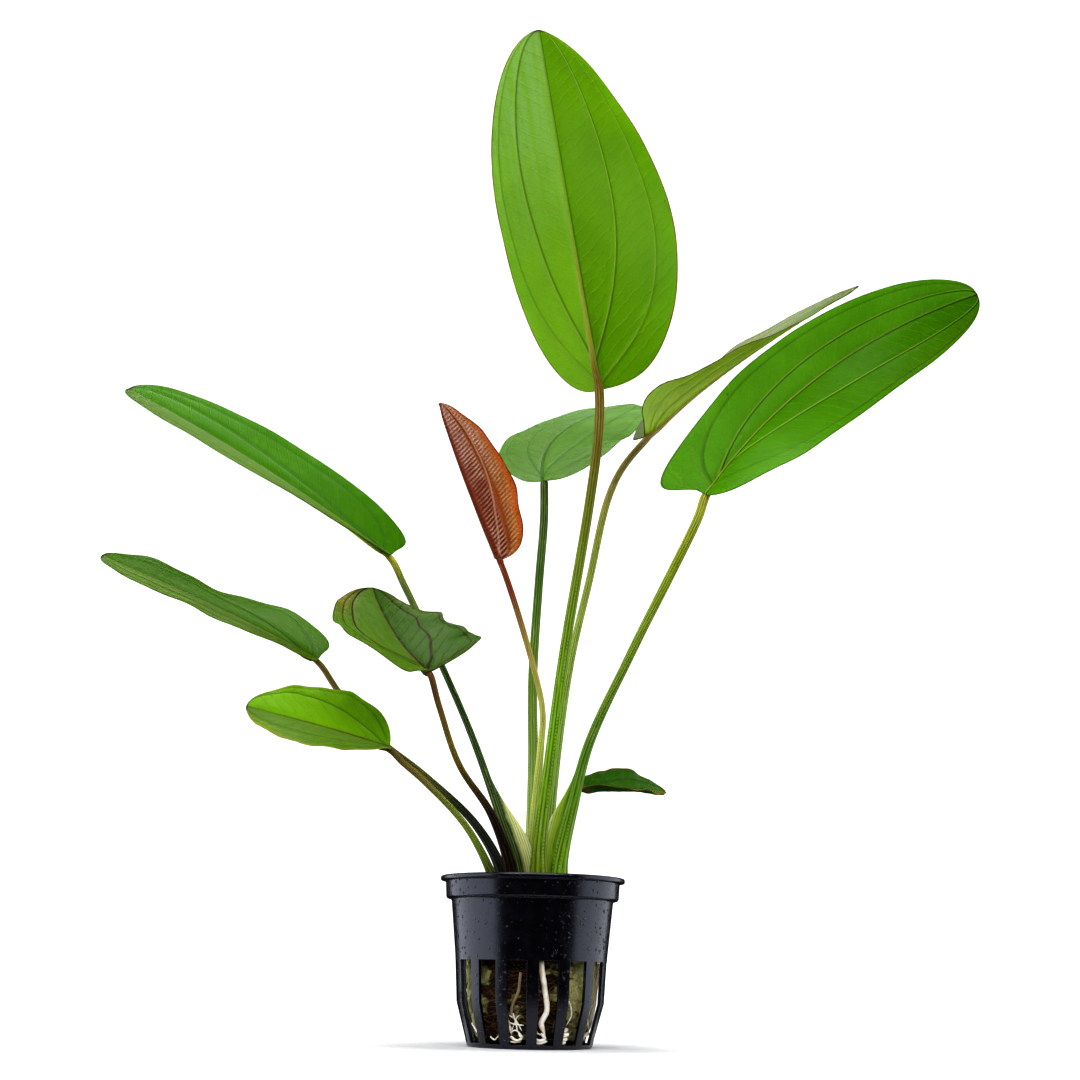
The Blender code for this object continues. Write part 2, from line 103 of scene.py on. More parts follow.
def smooth_route(points: list, count: int) -> np.ndarray:
    """Evenly spaced points on a smooth curve through the given ones.

    Args:
        points: the points to pass through, in order.
        count: how many points to return.

    Returns:
        An array of count rows.
    """
    pts = [np.array(p, float) for p in points]
    pts = [2 * pts[0] - pts[1], *pts, 2 * pts[-1] - pts[-2]]
    dense = []
    for a, b, c, d in zip(pts, pts[1:], pts[2:], pts[3:]):
        knots = [0.0]
        for p, q in ((a, b), (b, c), (c, d)):
            knots.append(knots[-1] + max(np.linalg.norm(q - p), 1e-6) ** 0.5)
        k0, k1, k2, k3 = knots
        for t in np.linspace(k1, k2, 24, endpoint=False):
            ab = a + (b - a) * (t - k0) / (k1 - k0)
            bc = b + (c - b) * (t - k1) / (k2 - k1)
            cd = c + (d - c) * (t - k2) / (k3 - k2)
            abc = ab + (bc - ab) * (t - k0) / (k2 - k0)
            bcd = bc + (cd - bc) * (t - k1) / (k3 - k1)
            dense.append(abc + (bcd - abc) * (t - k1) / (k2 - k1))
    dense = np.array([*dense, pts[-2]])
    run = run_along(dense)
    at = np.linspace(0.0, run[-1], count)
    return np.stack([np.interp(at, run, dense[:, axis]) for axis in range(3)], 1)


class Signal:
    """What one node gives. It feeds other nodes, and sums with it make Math nodes."""

    def __init__(self, graph: "Graph", socket: bpy.types.NodeSocket) -> None:
        """Note the graph and the node's output."""
        self.graph = graph
        self.socket = socket

    def math(self, operation: str, *others: object) -> "Signal":
        """The result of a Math node on this value and up to two others."""
        return self.graph.signal("Math", dict(enumerate((self, *others))), operation=operation)

    def __add__(self, other: object) -> "Signal":
        """This value and the other."""
        return self.math("ADD", other)

    def __sub__(self, other: object) -> "Signal":
        """This value less the other."""
        return self.math("SUBTRACT", other)

    def __mul__(self, other: object) -> "Signal":
        """This value times the other."""
        return self.math("MULTIPLY", other)

    def __truediv__(self, other: object) -> "Signal":
        """This value over the other."""
        return self.math("DIVIDE", other)

    def __abs__(self) -> "Signal":
        """This value without its sign."""
        return self.math("ABSOLUTE")

    def remap(self, low: float, high: float, start: float = 0.0, end: float = 1.0) -> "Signal":
        """A smooth step from start where this value is low to end where it is high."""
        feeds = dict(enumerate((self, low, high, start, end)))
        return self.graph.signal("MapRange", feeds, interpolation_type="SMOOTHSTEP")

    def line(self, width: object, soft: float) -> "Signal":
        """One within that half width of nought, falling to nought over the soft edge beside it."""
        return (abs(self) - width).remap(0.0, soft, 1.0, 0.0)

    def split(self) -> list["Signal"]:
        """The three parts of this vector."""
        return [Signal(self.graph, part) for part in self.graph.add("SeparateXYZ", {0: self}).outputs]

    def noise(self, scale: float, detail: float = 3.0, rough: float = 0.55, warp: float = 0.0) -> "Signal":
        """Cloudy noise from nought to one, over this vector."""
        feeds = {"Vector": self, "Scale": scale, "Detail": detail, "Roughness": rough, "Distortion": warp}
        return self.graph.signal("TexNoise", feeds, "Fac")

    def cells(self, scale: float, feature: str = "F1") -> dict[str, "Signal"]:
        """The outputs of a Voronoi pattern over this vector, by name."""
        node = self.graph.add("TexVoronoi", {"Vector": self, "Scale": scale}, feature=feature)
        return {socket.name: Signal(self.graph, socket) for socket in node.outputs}


class Graph:
    """A material's node tree, built by short calls that return signals."""

    def __init__(self, name: str) -> None:
        """Start a material that holds one Principled shader.

        Args:
            name: the material's name.
        """
        self.material = bpy.data.materials.new(name)
        self.material.use_nodes = True
        self.tree = self.material.node_tree
        self.shader = self.tree.nodes["Principled BSDF"]

    def feed(self, socket: bpy.types.NodeSocket, value: object) -> None:
        """Link a signal to an input, or set the input to a plain value.

        Args:
            socket: the input.
            value: a signal, a number, a vector or a colour.
        """
        if isinstance(value, Signal):
            self.tree.links.new(value.socket, socket)
        elif socket.type == "RGBA" and len(value) == 3:
            socket.default_value = (*value, 1.0)
        else:
            socket.default_value = value

    def add(self, kind: str, feeds: dict, **settings: object) -> bpy.types.Node:
        """Add a node.

        Args:
            kind: what follows ShaderNode in the node's type.
            feeds: what goes into its inputs, by their names or numbers.
            settings: the node's own settings.

        Returns:
            The node.
        """
        node = self.tree.nodes.new("ShaderNode" + kind)
        for name, value in settings.items():
            setattr(node, name, value)
        for key, value in feeds.items():
            self.feed(node.inputs[key], value)
        return node

    def signal(self, kind: str, feeds: dict, output: int | str = 0, **settings: object) -> Signal:
        """One output of a new node, which is made as add makes it."""
        return Signal(self, self.add(kind, feeds, **settings).outputs[output])

    def set(self, **inputs: object) -> None:
        """Feed the shader's inputs, named in lower case with underscores."""
        for name, value in inputs.items():
            self.feed(self.shader.inputs[name.replace("_", " ").title().replace("Ior", "IOR")], value)

    def attribute(self, name: str) -> Signal:
        """The piece's own attribute as a vector."""
        return self.signal("Attribute", {}, "Vector", attribute_name=name)

    def place(self, scale: Point = (1.0, 1.0, 1.0)) -> Signal:
        """Object coordinates, scaled along each axis."""
        return self.signal("Mapping", {"Vector": self.signal("TexCoord", {}, "Object"), "Scale": scale})

    def join(self, x: object, y: object, z: object) -> Signal:
        """A vector of three parts."""
        return self.signal("CombineXYZ", {0: x, 1: y, 2: z})

    def mix(self, share: object, first: object, second: object) -> Signal:
        """The first colour, blended towards the second by the share."""
        return self.signal("Mix", {0: share, 6: first, 7: second}, 2, data_type="RGBA")

    def ramp(self, value: Signal, stops: tuple) -> Signal:
        """A colour that runs through stops.

        Args:
            value: the place between the stops.
            stops: pairs of a place from nought to one and its colour.

        Returns:
            The colour.
        """
        node = self.add("ValToRGB", {0: value})
        elements = node.color_ramp.elements
        while len(elements) < len(stops):
            elements.new(0.5)
        for element, (where, colour) in zip(elements, stops):
            element.position = where
            element.color = (*colour, 1.0)
        return Signal(self, node.outputs[0])

    def bump(self, *layers: tuple) -> Signal:
        """A normal that stacks layers of bumps.

        Args:
            layers: pairs of a height signal and its depth in millimetres.

        Returns:
            The normal.
        """
        normal = {}
        for height, depth in layers:
            feeds = {"Strength": 1.0, "Distance": depth * MM, "Height": height, **normal}
            normal = {"Normal": self.signal("Bump", feeds)}
        return normal["Normal"]


@dataclass(frozen=True)
class PlasticFinish:
    """Black injection-moulded plastic with a satin skin, fine grain and small beads of wet on it."""

    body: Colour = tint(7, 7, 11)
    pale_tint: Colour = tint(15, 15, 24)
    rough: tuple[float, float] = (0.20, 0.30)
    beads: tuple = ((850.0, 0.80, 0.12, 0.40), (1900.0, 0.72, 0.10, 0.38))  # scale, rareness, core and edge
    rarest: float = 0.95  # rareness of the beads at the middle
    beads_from: float = 4.0
    beads_full: float = 14.0  # how far to the side they are as many as elsewhere

    def material(self) -> bpy.types.Material:
        """Make the plastic.

        Returns:
            The material.
        """
        g = Graph("black_plastic")
        where = g.place()
        cloud = where.noise(260.0, 4.0, 0.6)
        grain = where.noise(5200.0, 2.0, 0.5)
        wobble = (where.noise(900.0, 2.0, 0.5, 1.0) - 0.5) * 0.35
        aside = abs(where.split()[0])
        heights = []
        for scale, rareness, core, edge in self.beads:
            beads = where.cells(scale)
            fewer = aside.remap(self.beads_from * MM, self.beads_full * MM, self.rarest, rareness)
            chosen = beads["Color"].split()[0].math("GREATER_THAN", fewer)
            heights.append(chosen * (beads["Distance"] + wobble).remap(core, edge, 1.0, 0.0))
        large, small = heights
        g.set(
            base_color=g.mix(cloud.remap(0.3, 0.7), self.body, self.pale_tint),
            roughness=(cloud - large.math("MAXIMUM", small) * 0.5).remap(0.2, 0.8, *self.rough),
            normal=g.bump((grain, 0.003), (small, 0.07), (large, 0.26), (cloud, 0.05)),
            ior=1.6,
            specular_tint=(0.86, 0.88, 1.0),
        )
        return g.material


@dataclass(frozen=True)
class WoolFinish:
    """Damp rock wool: olive fibres with brown patches, painted shade between the strands and a brown stain
    darkened into painted deep shade low down.
    """

    pale: Colour = tint(226, 222, 166)
    olive: Colour = tint(180, 178, 108)
    # brown of the stains, darkened nearly to black so that it also paints the deep shade in the slots
    brown: Colour = tint(40, 26, 16)
    # shadow is the colour of the painted shade between the strands, and shade sets how bright the strands
    # are painted against it
    shadow: Colour = (0.015, 0.013, 0.006)
    shade: float = 1.0
    stain: float = 0.27  # how much more brown there is where the old roots run: partly their stain, partly painted deep shade
    stained_at: float = 2.0  # left of the middle
    stain_reach: tuple[float, float] = (7.0, 15.5)  # sideways, full and gone
    stain_height: tuple[float, float] = (25.0, 33.0)  # upwards, full and gone: the stain and its painted shade keep low

    def material(self, name: str) -> bpy.types.Material:
        """Make the wool, a little lighter or darker by the shade, which sets the painted shade between the
        strands.

        Args:
            name: the material's name.

        Returns:
            The material.
        """
        g = Graph(name)
        where = g.place((1.0, 1.0, 1.7))
        patch = where.noise(130.0, 4.0, 0.6, 0.6)
        tuft = where.noise(900.0, 5.0, 0.7, 1.2)
        strand = g.place((1.0, 1.0, 0.22)).noise(1300.0, 3.0, 0.7, 1.0)
        fibre = g.mix(tuft.remap(0.35, 0.68), self.olive, self.pale)
        aside, _, height = g.place().split()
        near, far = self.stain_reach
        full, gone = self.stain_height
        # brown stain and painted deep shade, strongest just left of the middle and low down
        stain_and_painted_shade = abs(aside + self.stained_at * MM).remap(near * MM, far * MM, self.stain, 0.0)
        patch = patch + stain_and_painted_shade * height.remap(full * MM, gone * MM, 1.0, 0.0)
        stained = g.mix(patch.remap(0.56, 0.70), fibre, self.brown)
        # painted shade between the strands, darker where the strand noise is low
        lit = strand.remap(0.30, 0.58, 0.48 * self.shade, self.shade)
        g.set(
            base_color=g.mix(lit, self.shadow, stained),
            roughness=tuft.remap(0.2, 0.8, 0.8, 1.0),
            normal=g.bump((tuft, 0.5), (strand, 0.3)),
            specular_ior_level=0.3,
        )
        return g.material


@dataclass(frozen=True)
class CrownFinish:
    """The rootstock's corky, stained skin."""

    pale: Colour = tint(150, 140, 92)
    brown: Colour = tint(88, 62, 34)
    dark: Colour = tint(40, 30, 20)

    def material(self) -> bpy.types.Material:
        """Make the crown's skin.

        Returns:
            The material.
        """
        g = Graph("crown_skin")
        patch = g.place((1.0, 1.0, 2.4)).noise(210.0, 5.0, 0.62, 0.8)
        grain = g.place((1.0, 1.0, 9.0)).noise(620.0, 4.0, 0.65, 0.4)
        tone = g.mix(patch.remap(0.38, 0.62), self.brown, self.pale)
        g.set(
            base_color=g.mix(grain.remap(0.56, 0.72), tone, self.dark),
            roughness=grain.remap(0.3, 0.7, 0.55, 0.8),
            normal=g.bump((patch, 0.5), (grain, 0.25)),
        )
        return g.material


@dataclass(frozen=True)
class RootFinish:
    """Living root: creamy white and slightly clear, browner where it has rubbed."""

    pale: Colour = tint(250, 244, 234)
    cream: Colour = tint(232, 214, 186)
    stain: Colour = tint(128, 92, 52)

    def material(self, name: str) -> bpy.types.Material:
        """Make the root's skin.

        Args:
            name: the material's name.

        Returns:
            The material.
        """
        g = Graph(name)
        where = g.place()
        cloud = where.noise(420.0, 4.0, 0.6, 0.4)
        patch = where.noise(95.0, 2.0, 0.5)
        tone = g.mix(cloud.remap(0.4, 0.7), self.pale, self.cream)
        g.set(
            base_color=g.mix(patch.remap(0.58, 0.74, 0.0, 0.7), tone, self.stain),
            roughness=cloud.remap(0.3, 0.7, 0.35, 0.5),
            normal=g.bump((cloud, 0.12)),
            subsurface_weight=0.35,
            subsurface_radius=(1.0, 0.8, 0.5),
            subsurface_scale=0.6 * MM,
        )
        return g.material


class VeinStyle(Enum):
    """How the lateral veins show on a blade: (colour strength, darkness of the painted shadow beside them).
    """

    FAINT = (0.45, 0.30)
    CLEAR = (0.80, 0.55)
    BOLD = (1.0, 0.85)


class BladeGraph(Graph):
    """A blade's node tree, with the places and the clouds on it that its finish reads."""

    def __init__(self, name: str) -> None:
        """Read the blade's own attributes and lay the noises on it.

        Args:
            name: the material's name.
        """
        super().__init__(name)
        self.along, self.across, self.side = self.attribute("blade_mm").split()
        self.inner, self.outer, self.edge = self.attribute("vein_mm").split()
        self.share, reach, _ = self.attribute("blade_share").split()
        self.reach = abs(reach)
        self.sheet = self.join(self.along * MM, self.across * MM, self.side * 0.03)
        self.broad = self.place().noise(42.0, 3.0, 0.55, 0.3)
        self.cloud = self.sheet.noise(210.0, 4.0, 0.6, 0.4)
        self.fine = self.sheet.noise(1900.0, 3.0, 0.6)

    def halves(self, left: float = 0.0, right: float = 1.0) -> Signal:
        """One number on the left half and another on the right one."""
        return self.across.remap(-0.5, 0.5, left, right)


@dataclass(frozen=True)
class BladeFinish:
    """The skin of one blade, with its own greens, veins and margin."""

    # each half's colour, on either side, is partly the leaf's own green and partly painted light and shade,
    # lighter or darker as the light falls on that half
    left: Colour
    right: Colour
    under_left: Colour
    under_right: Colour | None = None  # as the left one where it isn't given
    midrib: Colour = tint(138, 168, 52)
    vein: Colour = tint(104, 132, 40)
    # dark tone of the broad patches, the fine net and the grain, and the colour of the painted shadow beside
    # each vein
    dark_tone_and_shade: Colour = tint(44, 88, 14)
    margin: Colour = tint(104, 66, 28)
    tip: Colour = tint(62, 36, 30)
    patch: Colour = tint(112, 160, 60)
    style: VeinStyle = VeinStyle.CLEAR
    cross_spacing: float = 4.2
    cross_slope: float = 0.85
    cross_width: float = 0.17
    cross: float = 0.22
    cross_lift: float = 0.05
    cloud_lift: float = 0.06
    midrib_width: float = 0.34
    vein_width: float = 0.15
    outer_vein: float = 0.25
    outer_width: float = 0.12
    shadow_lean: float = 0.0  # how far the painted shadows beside the veins lie towards the right half
    shadow_width: float = 0.16  # how far these painted shadows reach past the vein
    margin_width: float = 0.22
    tip_from: float = 0.985
    bands: tuple = ()  # (reach, colour) stops from the midrib to the margin
    ribbed: tuple = ()  # (reach, strength) stops that keep the cross veins to some bands
    rim: Colour = tint(120, 150, 40)
    rims: tuple[float, float] = (0.0, 0.0)  # strength on the left and on the right half, towards the tip
    fade: float = 0.45  # how far the midrib pales towards the tip
    patches: float = 0.25
    # colour of a painted sheen, laid in streaks along the blade
    pale_tint: Colour = tint(150, 190, 112)
    sheens: tuple[float, float] = (0.0, 0.0)  # strength of the painted sheen on the left and on the right half
    sheen_span: tuple[float, float] = (0.35, 0.95)  # where the painted sheen starts and is full, along the blade
    rough: tuple[float, float] = (0.28, 0.42)
    gloss: float = 0.12

    def greens(self, g: BladeGraph) -> Signal:
        """Colour the ground of both sides, its halves partly painted light and shade, with broad patches and
        a tinted rim.

        Args:
            g: the blade's node tree.

        Returns:
            The colour so far.
        """
        upper = g.mix(g.halves(), self.left, self.right)
        if self.bands:
            under = g.ramp(g.reach + (g.cloud - 0.5) * 0.12, self.bands)
        else:
            under = g.mix(g.halves(), self.under_left, self.under_right or self.under_left)
        tone = g.mix(g.side, upper, under)
        tone = g.mix(g.cloud.remap(0.48, 0.78, 0.0, self.patches), tone, self.patch)
        tone = g.mix(g.broad.remap(0.35, 0.70, 0.0, 0.18), tone, self.dark_tone_and_shade)
        rimmed = g.halves(*self.rims) * g.reach.remap(0.45, 1.0)
        return g.mix(rimmed * g.share.remap(0.50, 0.92), tone, self.rim)

    def banded(self, g: BladeGraph, value: Signal) -> Signal:
        """The value, kept to some bands between the midrib and the margin where the finish says so."""
        stops = tuple((reach, (strength,) * 3) for reach, strength in self.ribbed)
        return value * g.ramp(g.reach, stops) if stops else value

    def sheened(self, g: BladeGraph, tone: Signal) -> Signal:
        """Lay a pale painted sheen over the ground in streaks along the blade.

        Args:
            g: the blade's node tree.
            tone: the ground colour.

        Returns:
            The colour so far.
        """
        higher = self.banded(g, (g.share + g.cloud * 0.2).remap(*self.sheen_span))
        streak = g.join(g.along * (0.06 * MM), g.across * MM, g.side).noise(520.0, 3.0, 0.6)
        striped = g.halves(*self.sheens) * streak.remap(0.35, 0.62, 0.45, 1.0)
        return g.mix(striped * higher, tone, self.pale_tint)

    def crossed(self, g: BladeGraph, tone: Signal) -> tuple[Signal, Signal]:
        """Draw the cross veins, the fine net between them and the grain.

        Args:
            g: the blade's node tree.
            tone: the colour so far.

        Returns:
            The colour so far, and the cross veins alone.
        """
        slant = g.along - abs(g.across) * self.cross_slope
        bent = slant / self.cross_spacing + g.cloud * 0.9
        soft = min(0.30, 0.24 * self.cross_spacing)
        rungs = (bent.math("PINGPONG", 0.5) * self.cross_spacing).line(soft * self.cross_width, soft)
        if self.ribbed:
            rungs = self.banded(g, rungs) * g.broad.remap(0.30, 0.55, 0.3, 1.0)
        net = g.join(g.along * 1.6, g.across, g.side).cells(0.75, "DISTANCE_TO_EDGE")["Distance"]
        tone = g.mix(rungs * g.cloud.remap(0.30, 0.60, 0.5 * self.cross, self.cross), tone, self.vein)
        tone = g.mix(net.remap(0.02, 0.10, 0.5 * self.cross, 0.0), tone, self.dark_tone_and_shade)
        return g.mix(g.fine.remap(0.45, 0.85, 0.0, 0.18), tone, self.dark_tone_and_shade), rungs

    def veined(self, g: BladeGraph, tone: Signal) -> tuple[Signal, Signal]:
        """Draw the lateral veins and the midrib, each with a painted shadow beside it.

        Args:
            g: the blade's node tree.
            tone: the colour so far.

        Returns:
            The colour so far, and the veins alone.
        """
        strength, darkness = self.style.value
        thin = g.share.remap(0.0, 1.0, 1.0, 0.40)
        faded = g.share.remap(0.20, 0.95, strength, strength * (1.0 - self.fade))
        cores = []
        for place, width, soft, dark, clear, colour in (
            (g.outer, self.outer_width, 0.14, darkness * 0.5, self.outer_vein, self.vein),
            (g.inner, self.vein_width, 0.15, darkness, strength, self.vein),
            (g.across, self.midrib_width, 0.18, darkness, faded, self.midrib),
        ):
            # painted shade along the vein, shifted to one side as if lit from the other
            dark_tone_and_shade = (place - self.shadow_lean).line(thin * (width + self.shadow_width), soft * 2.0)
            core = place.line(thin * width, soft)
            tone = g.mix(core * clear, g.mix(dark_tone_and_shade * dark, tone, self.dark_tone_and_shade), colour)
            cores.append(core)
        _, inner, middle = cores
        return tone, (inner * 0.6).math("MAXIMUM", middle)

    def worn(self, g: BladeGraph, tone: Signal) -> Signal:
        """Darken the margin and the tip, and scatter a few small marks.

        Args:
            g: the blade's node tree.
            tone: the colour so far.

        Returns:
            The colour.
        """
        rubbed = g.edge.line(self.margin_width, 0.35) * g.cloud.remap(0.25, 0.6, 0.35, 1.0)
        tone = g.mix(rubbed, tone, self.margin)
        tone = g.mix(g.share.remap(self.tip_from, self.tip_from + 0.012), tone, self.tip)
        spot = g.sheet.cells(260.0)
        rare = spot["Color"].split()[0].math("GREATER_THAN", 0.93)
        return g.mix(rare * spot["Distance"].remap(0.06, 0.15, 0.7, 0.0), tone, self.margin)

    def material(self, name: str) -> bpy.types.Material:
        """Make the blade's skin, which reads the blade's own attributes.

        Args:
            name: the material's name.

        Returns:
            The material.
        """
        g = BladeGraph(name)
        tone, rungs = self.crossed(g, self.sheened(g, self.greens(g)))
        tone, veins = self.veined(g, tone)
        rough = (g.cloud + g.fine * 0.4).remap(0.4, 1.0, *self.rough)
        layers = ((rungs, self.cross_lift), (g.fine, 0.006), (g.cloud, self.cloud_lift), (veins, 0.10))
        g.set(
            base_color=self.worn(g, tone),
            roughness=rough,
            normal=g.bump(*layers),
            ior=1.40,
            specular_ior_level=self.gloss,
            subsurface_weight=0.55,
            subsurface_radius=(0.7, 1.0, 0.18),
            subsurface_scale=1.1 * MM,
        )
        return g.material


@dataclass(frozen=True)
class PetioleFinish:
    """The skin of one petiole, from its pale foot to the blade."""

    foot: Colour
    low: Colour
    high: Colour
    top: Colour
    line: Colour = tint(48, 84, 20)
    pale: Colour = tint(178, 200, 130)
    wing: Colour = tint(196, 208, 128)
    rim: Colour = tint(226, 228, 176)
    keel: Colour = tint(140, 160, 60)
    turns: tuple[float, float] = (0.22, 0.62)  # where it has its low and its high colour
    lined: float = 0.75
    ridged: float = 0.35
    ticks: float = 0.8

    def material(self, name: str) -> bpy.types.Material:
        """Make the petiole's skin, which reads the petiole's own attributes.

        Args:
            name: the material's name.

        Returns:
            The material.
        """
        g = Graph(name)
        x, y, run = g.attribute("petiole_mm").split()
        share, wing, beyond = g.attribute("petiole_share").split()
        turn = x.math("ARCTAN2", y)
        skin = g.join(x * MM, y * MM, run * (0.12 * MM))
        cloud = skin.noise(330.0, 4.0, 0.6, 0.3)
        streak = skin.noise(1500.0, 3.0, 0.6)
        stops = tuple(zip((0.0, *self.turns, 0.90), (self.foot, self.low, self.high, self.top)))
        tone = g.ramp(share + (cloud - 0.5) * 0.18, stops)
        tone = g.mix(beyond.remap(0.02, 0.30), tone, self.keel)
        rib = (turn * RIBS).math("COSINE")
        broken = streak.remap(0.38, 0.56, 0.25, 1.0) * beyond.remap(0.0, 0.3, 1.0, 0.2)
        groove = rib.remap(-1.0, -0.25, 1.0, 0.0) * broken
        crest = rib.remap(0.2, 1.0) * cloud.remap(0.35, 0.65, 0.2, 1.0)
        tone = g.mix(crest * self.ridged, tone, self.pale)
        tone = g.mix(streak.remap(0.52, 0.72, 0.0, self.ridged), tone, self.pale)
        tone = g.mix(groove * self.lined, tone, self.line)
        dash = (run + cloud * 2.6).math("PINGPONG", 0.55).line(0.07, 0.14)
        column = (turn * (RIBS / 2)).math("COSINE").remap(0.2, 0.8)
        scattered = column * skin.noise(900.0, 2.0, 0.5).remap(0.45, 0.58)
        septum = dash * scattered * share.remap(0.80, 0.25, 0.0, self.ticks)
        tone = g.mix(septum, tone, self.line)
        fibre = (wing + cloud * 0.12).math("PINGPONG", 0.075)
        fibres = fibre.remap(0.0, 0.03, 0.75, 0.0) * streak.remap(0.36, 0.60, 0.15, 1.0)
        thin = g.mix(wing.remap(0.35, 0.95), self.wing, self.rim)
        g.set(
            base_color=g.mix(wing.remap(0.05, 0.40), tone, g.mix(fibres, thin, self.line)),
            roughness=cloud.remap(0.3, 0.7, 0.34, 0.52),
            normal=g.bump((groove, -0.10), (streak, 0.10), (septum, -0.05)),
            ior=1.40,
            specular_ior_level=0.25,
            subsurface_weight=0.35,
            subsurface_radius=(0.7, 1.0, 0.25),
            subsurface_scale=1.0 * MM,
        )
        return g.material


class Piece:
    """A finished mesh on its way into the scene."""

    @staticmethod
    def from_bmesh(name: str, bm: bmesh.types.BMesh) -> bpy.types.Object:
        """Turn a bmesh into a smooth-shaded object at the origin, and free it.

        Args:
            name: the object's name.
            bm: the bmesh, in metres.

        Returns:
            The object.
        """
        mesh = bpy.data.meshes.new(name)
        bm.to_mesh(mesh)
        bm.free()
        mesh.shade_smooth()
        obj = bpy.data.objects.new(name, mesh)
        bpy.context.scene.collection.objects.link(obj)
        return obj

    @staticmethod
    def mark(obj: bpy.types.Object, marks: dict) -> None:
        """Write what the finish reads at each vertex.

        Args:
            obj: the piece.
            marks: for each attribute's name, three columns of numbers.
        """
        for name, columns in marks.items():
            attribute = obj.data.attributes.new(name, "FLOAT_VECTOR", "POINT")
            attribute.data.foreach_set("vector", np.stack(columns, 1).astype(np.float32).ravel())

    @staticmethod
    def finish(
        obj: bpy.types.Object, material: bpy.types.Material, slot: str, *nodes: str
    ) -> bpy.types.Object:
        """Dress a piece, ride it on the body and hide the frame's nodes that it replaces.

        Args:
            obj: the piece.
            material: its material.
            slot: the record's material slot; not used.
            nodes: the frame's nodes that it replaces.

        Returns:
            The piece.
        """
        obj.data.materials.clear()
        obj.data.materials.append(material)
        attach(obj, BODY)
        if nodes:
            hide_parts(*nodes)
        LOG.info("%s: %d faces", obj.name, len(obj.data.polygons))
        return obj


def tubes(name: str, routes: list, radii: list, resolution: int) -> bpy.types.Object:
    """One mesh of round tubes along several routes.

    Args:
        name: the object's name.
        routes: arrays of points in millimetres.
        radii: for each route, an array of radii in millimetres.
        resolution: the curve's bevel resolution.

    Returns:
        The object, with welded caps and outward faces.
    """
    curve = bpy.data.curves.new(name + "_line", "CURVE")
    curve.dimensions = "3D"
    curve.bevel_depth = MM
    curve.bevel_resolution = resolution
    curve.use_fill_caps = True
    for route, radius in zip(routes, radii):
        spline = curve.splines.new("POLY")
        spline.points.add(len(route) - 1)
        spline.points.foreach_set("co", np.c_[route * MM, np.ones(len(route))].ravel())
        spline.points.foreach_set("radius", radius)
    guide = bpy.data.objects.new(name + "_line", curve)
    bpy.context.scene.collection.objects.link(guide)
    bpy.context.view_layer.update()
    mesh = bpy.data.meshes.new_from_object(guide.evaluated_get(bpy.context.evaluated_depsgraph_get()))
    bpy.data.objects.remove(guide)
    bm = bmesh.new()
    bm.from_mesh(mesh)
    bpy.data.meshes.remove(mesh)
    bmesh.ops.remove_doubles(bm, verts=bm.verts, dist=MERGE / 10)
    bmesh.ops.recalc_face_normals(bm, faces=bm.faces)
    return Piece.from_bmesh(name, bm)


def turned(profile: list, steps: int, start: float = 0.0) -> bmesh.types.BMesh:
    """A closed profile of (radius, height) pairs in millimetres, spun about Z.

    Args:
        profile: the pairs, in order round the section.
        steps: faces round the turn.
        start: the angle where the spin starts, in degrees.

    Returns:
        A bmesh in metres.
    """
    bm = bmesh.new()
    verts = [bm.verts.new((r * MM, 0.0, z * MM)) for r, z in profile]
    edges = [bm.edges.new(pair) for pair in zip(verts, verts[1:])]
    bmesh.ops.rotate(bm, verts=verts, matrix=Matrix.Rotation(math.radians(start), 3, "Z"))
    bmesh.ops.spin(
        bm, geom=verts + edges, cent=(0, 0, 0), axis=(0, 0, 1), angle=math.tau, steps=steps, use_merge=True
    )
    bmesh.ops.remove_doubles(bm, verts=bm.verts, dist=MERGE)
    bmesh.ops.recalc_face_normals(bm, faces=bm.faces)
    return bm


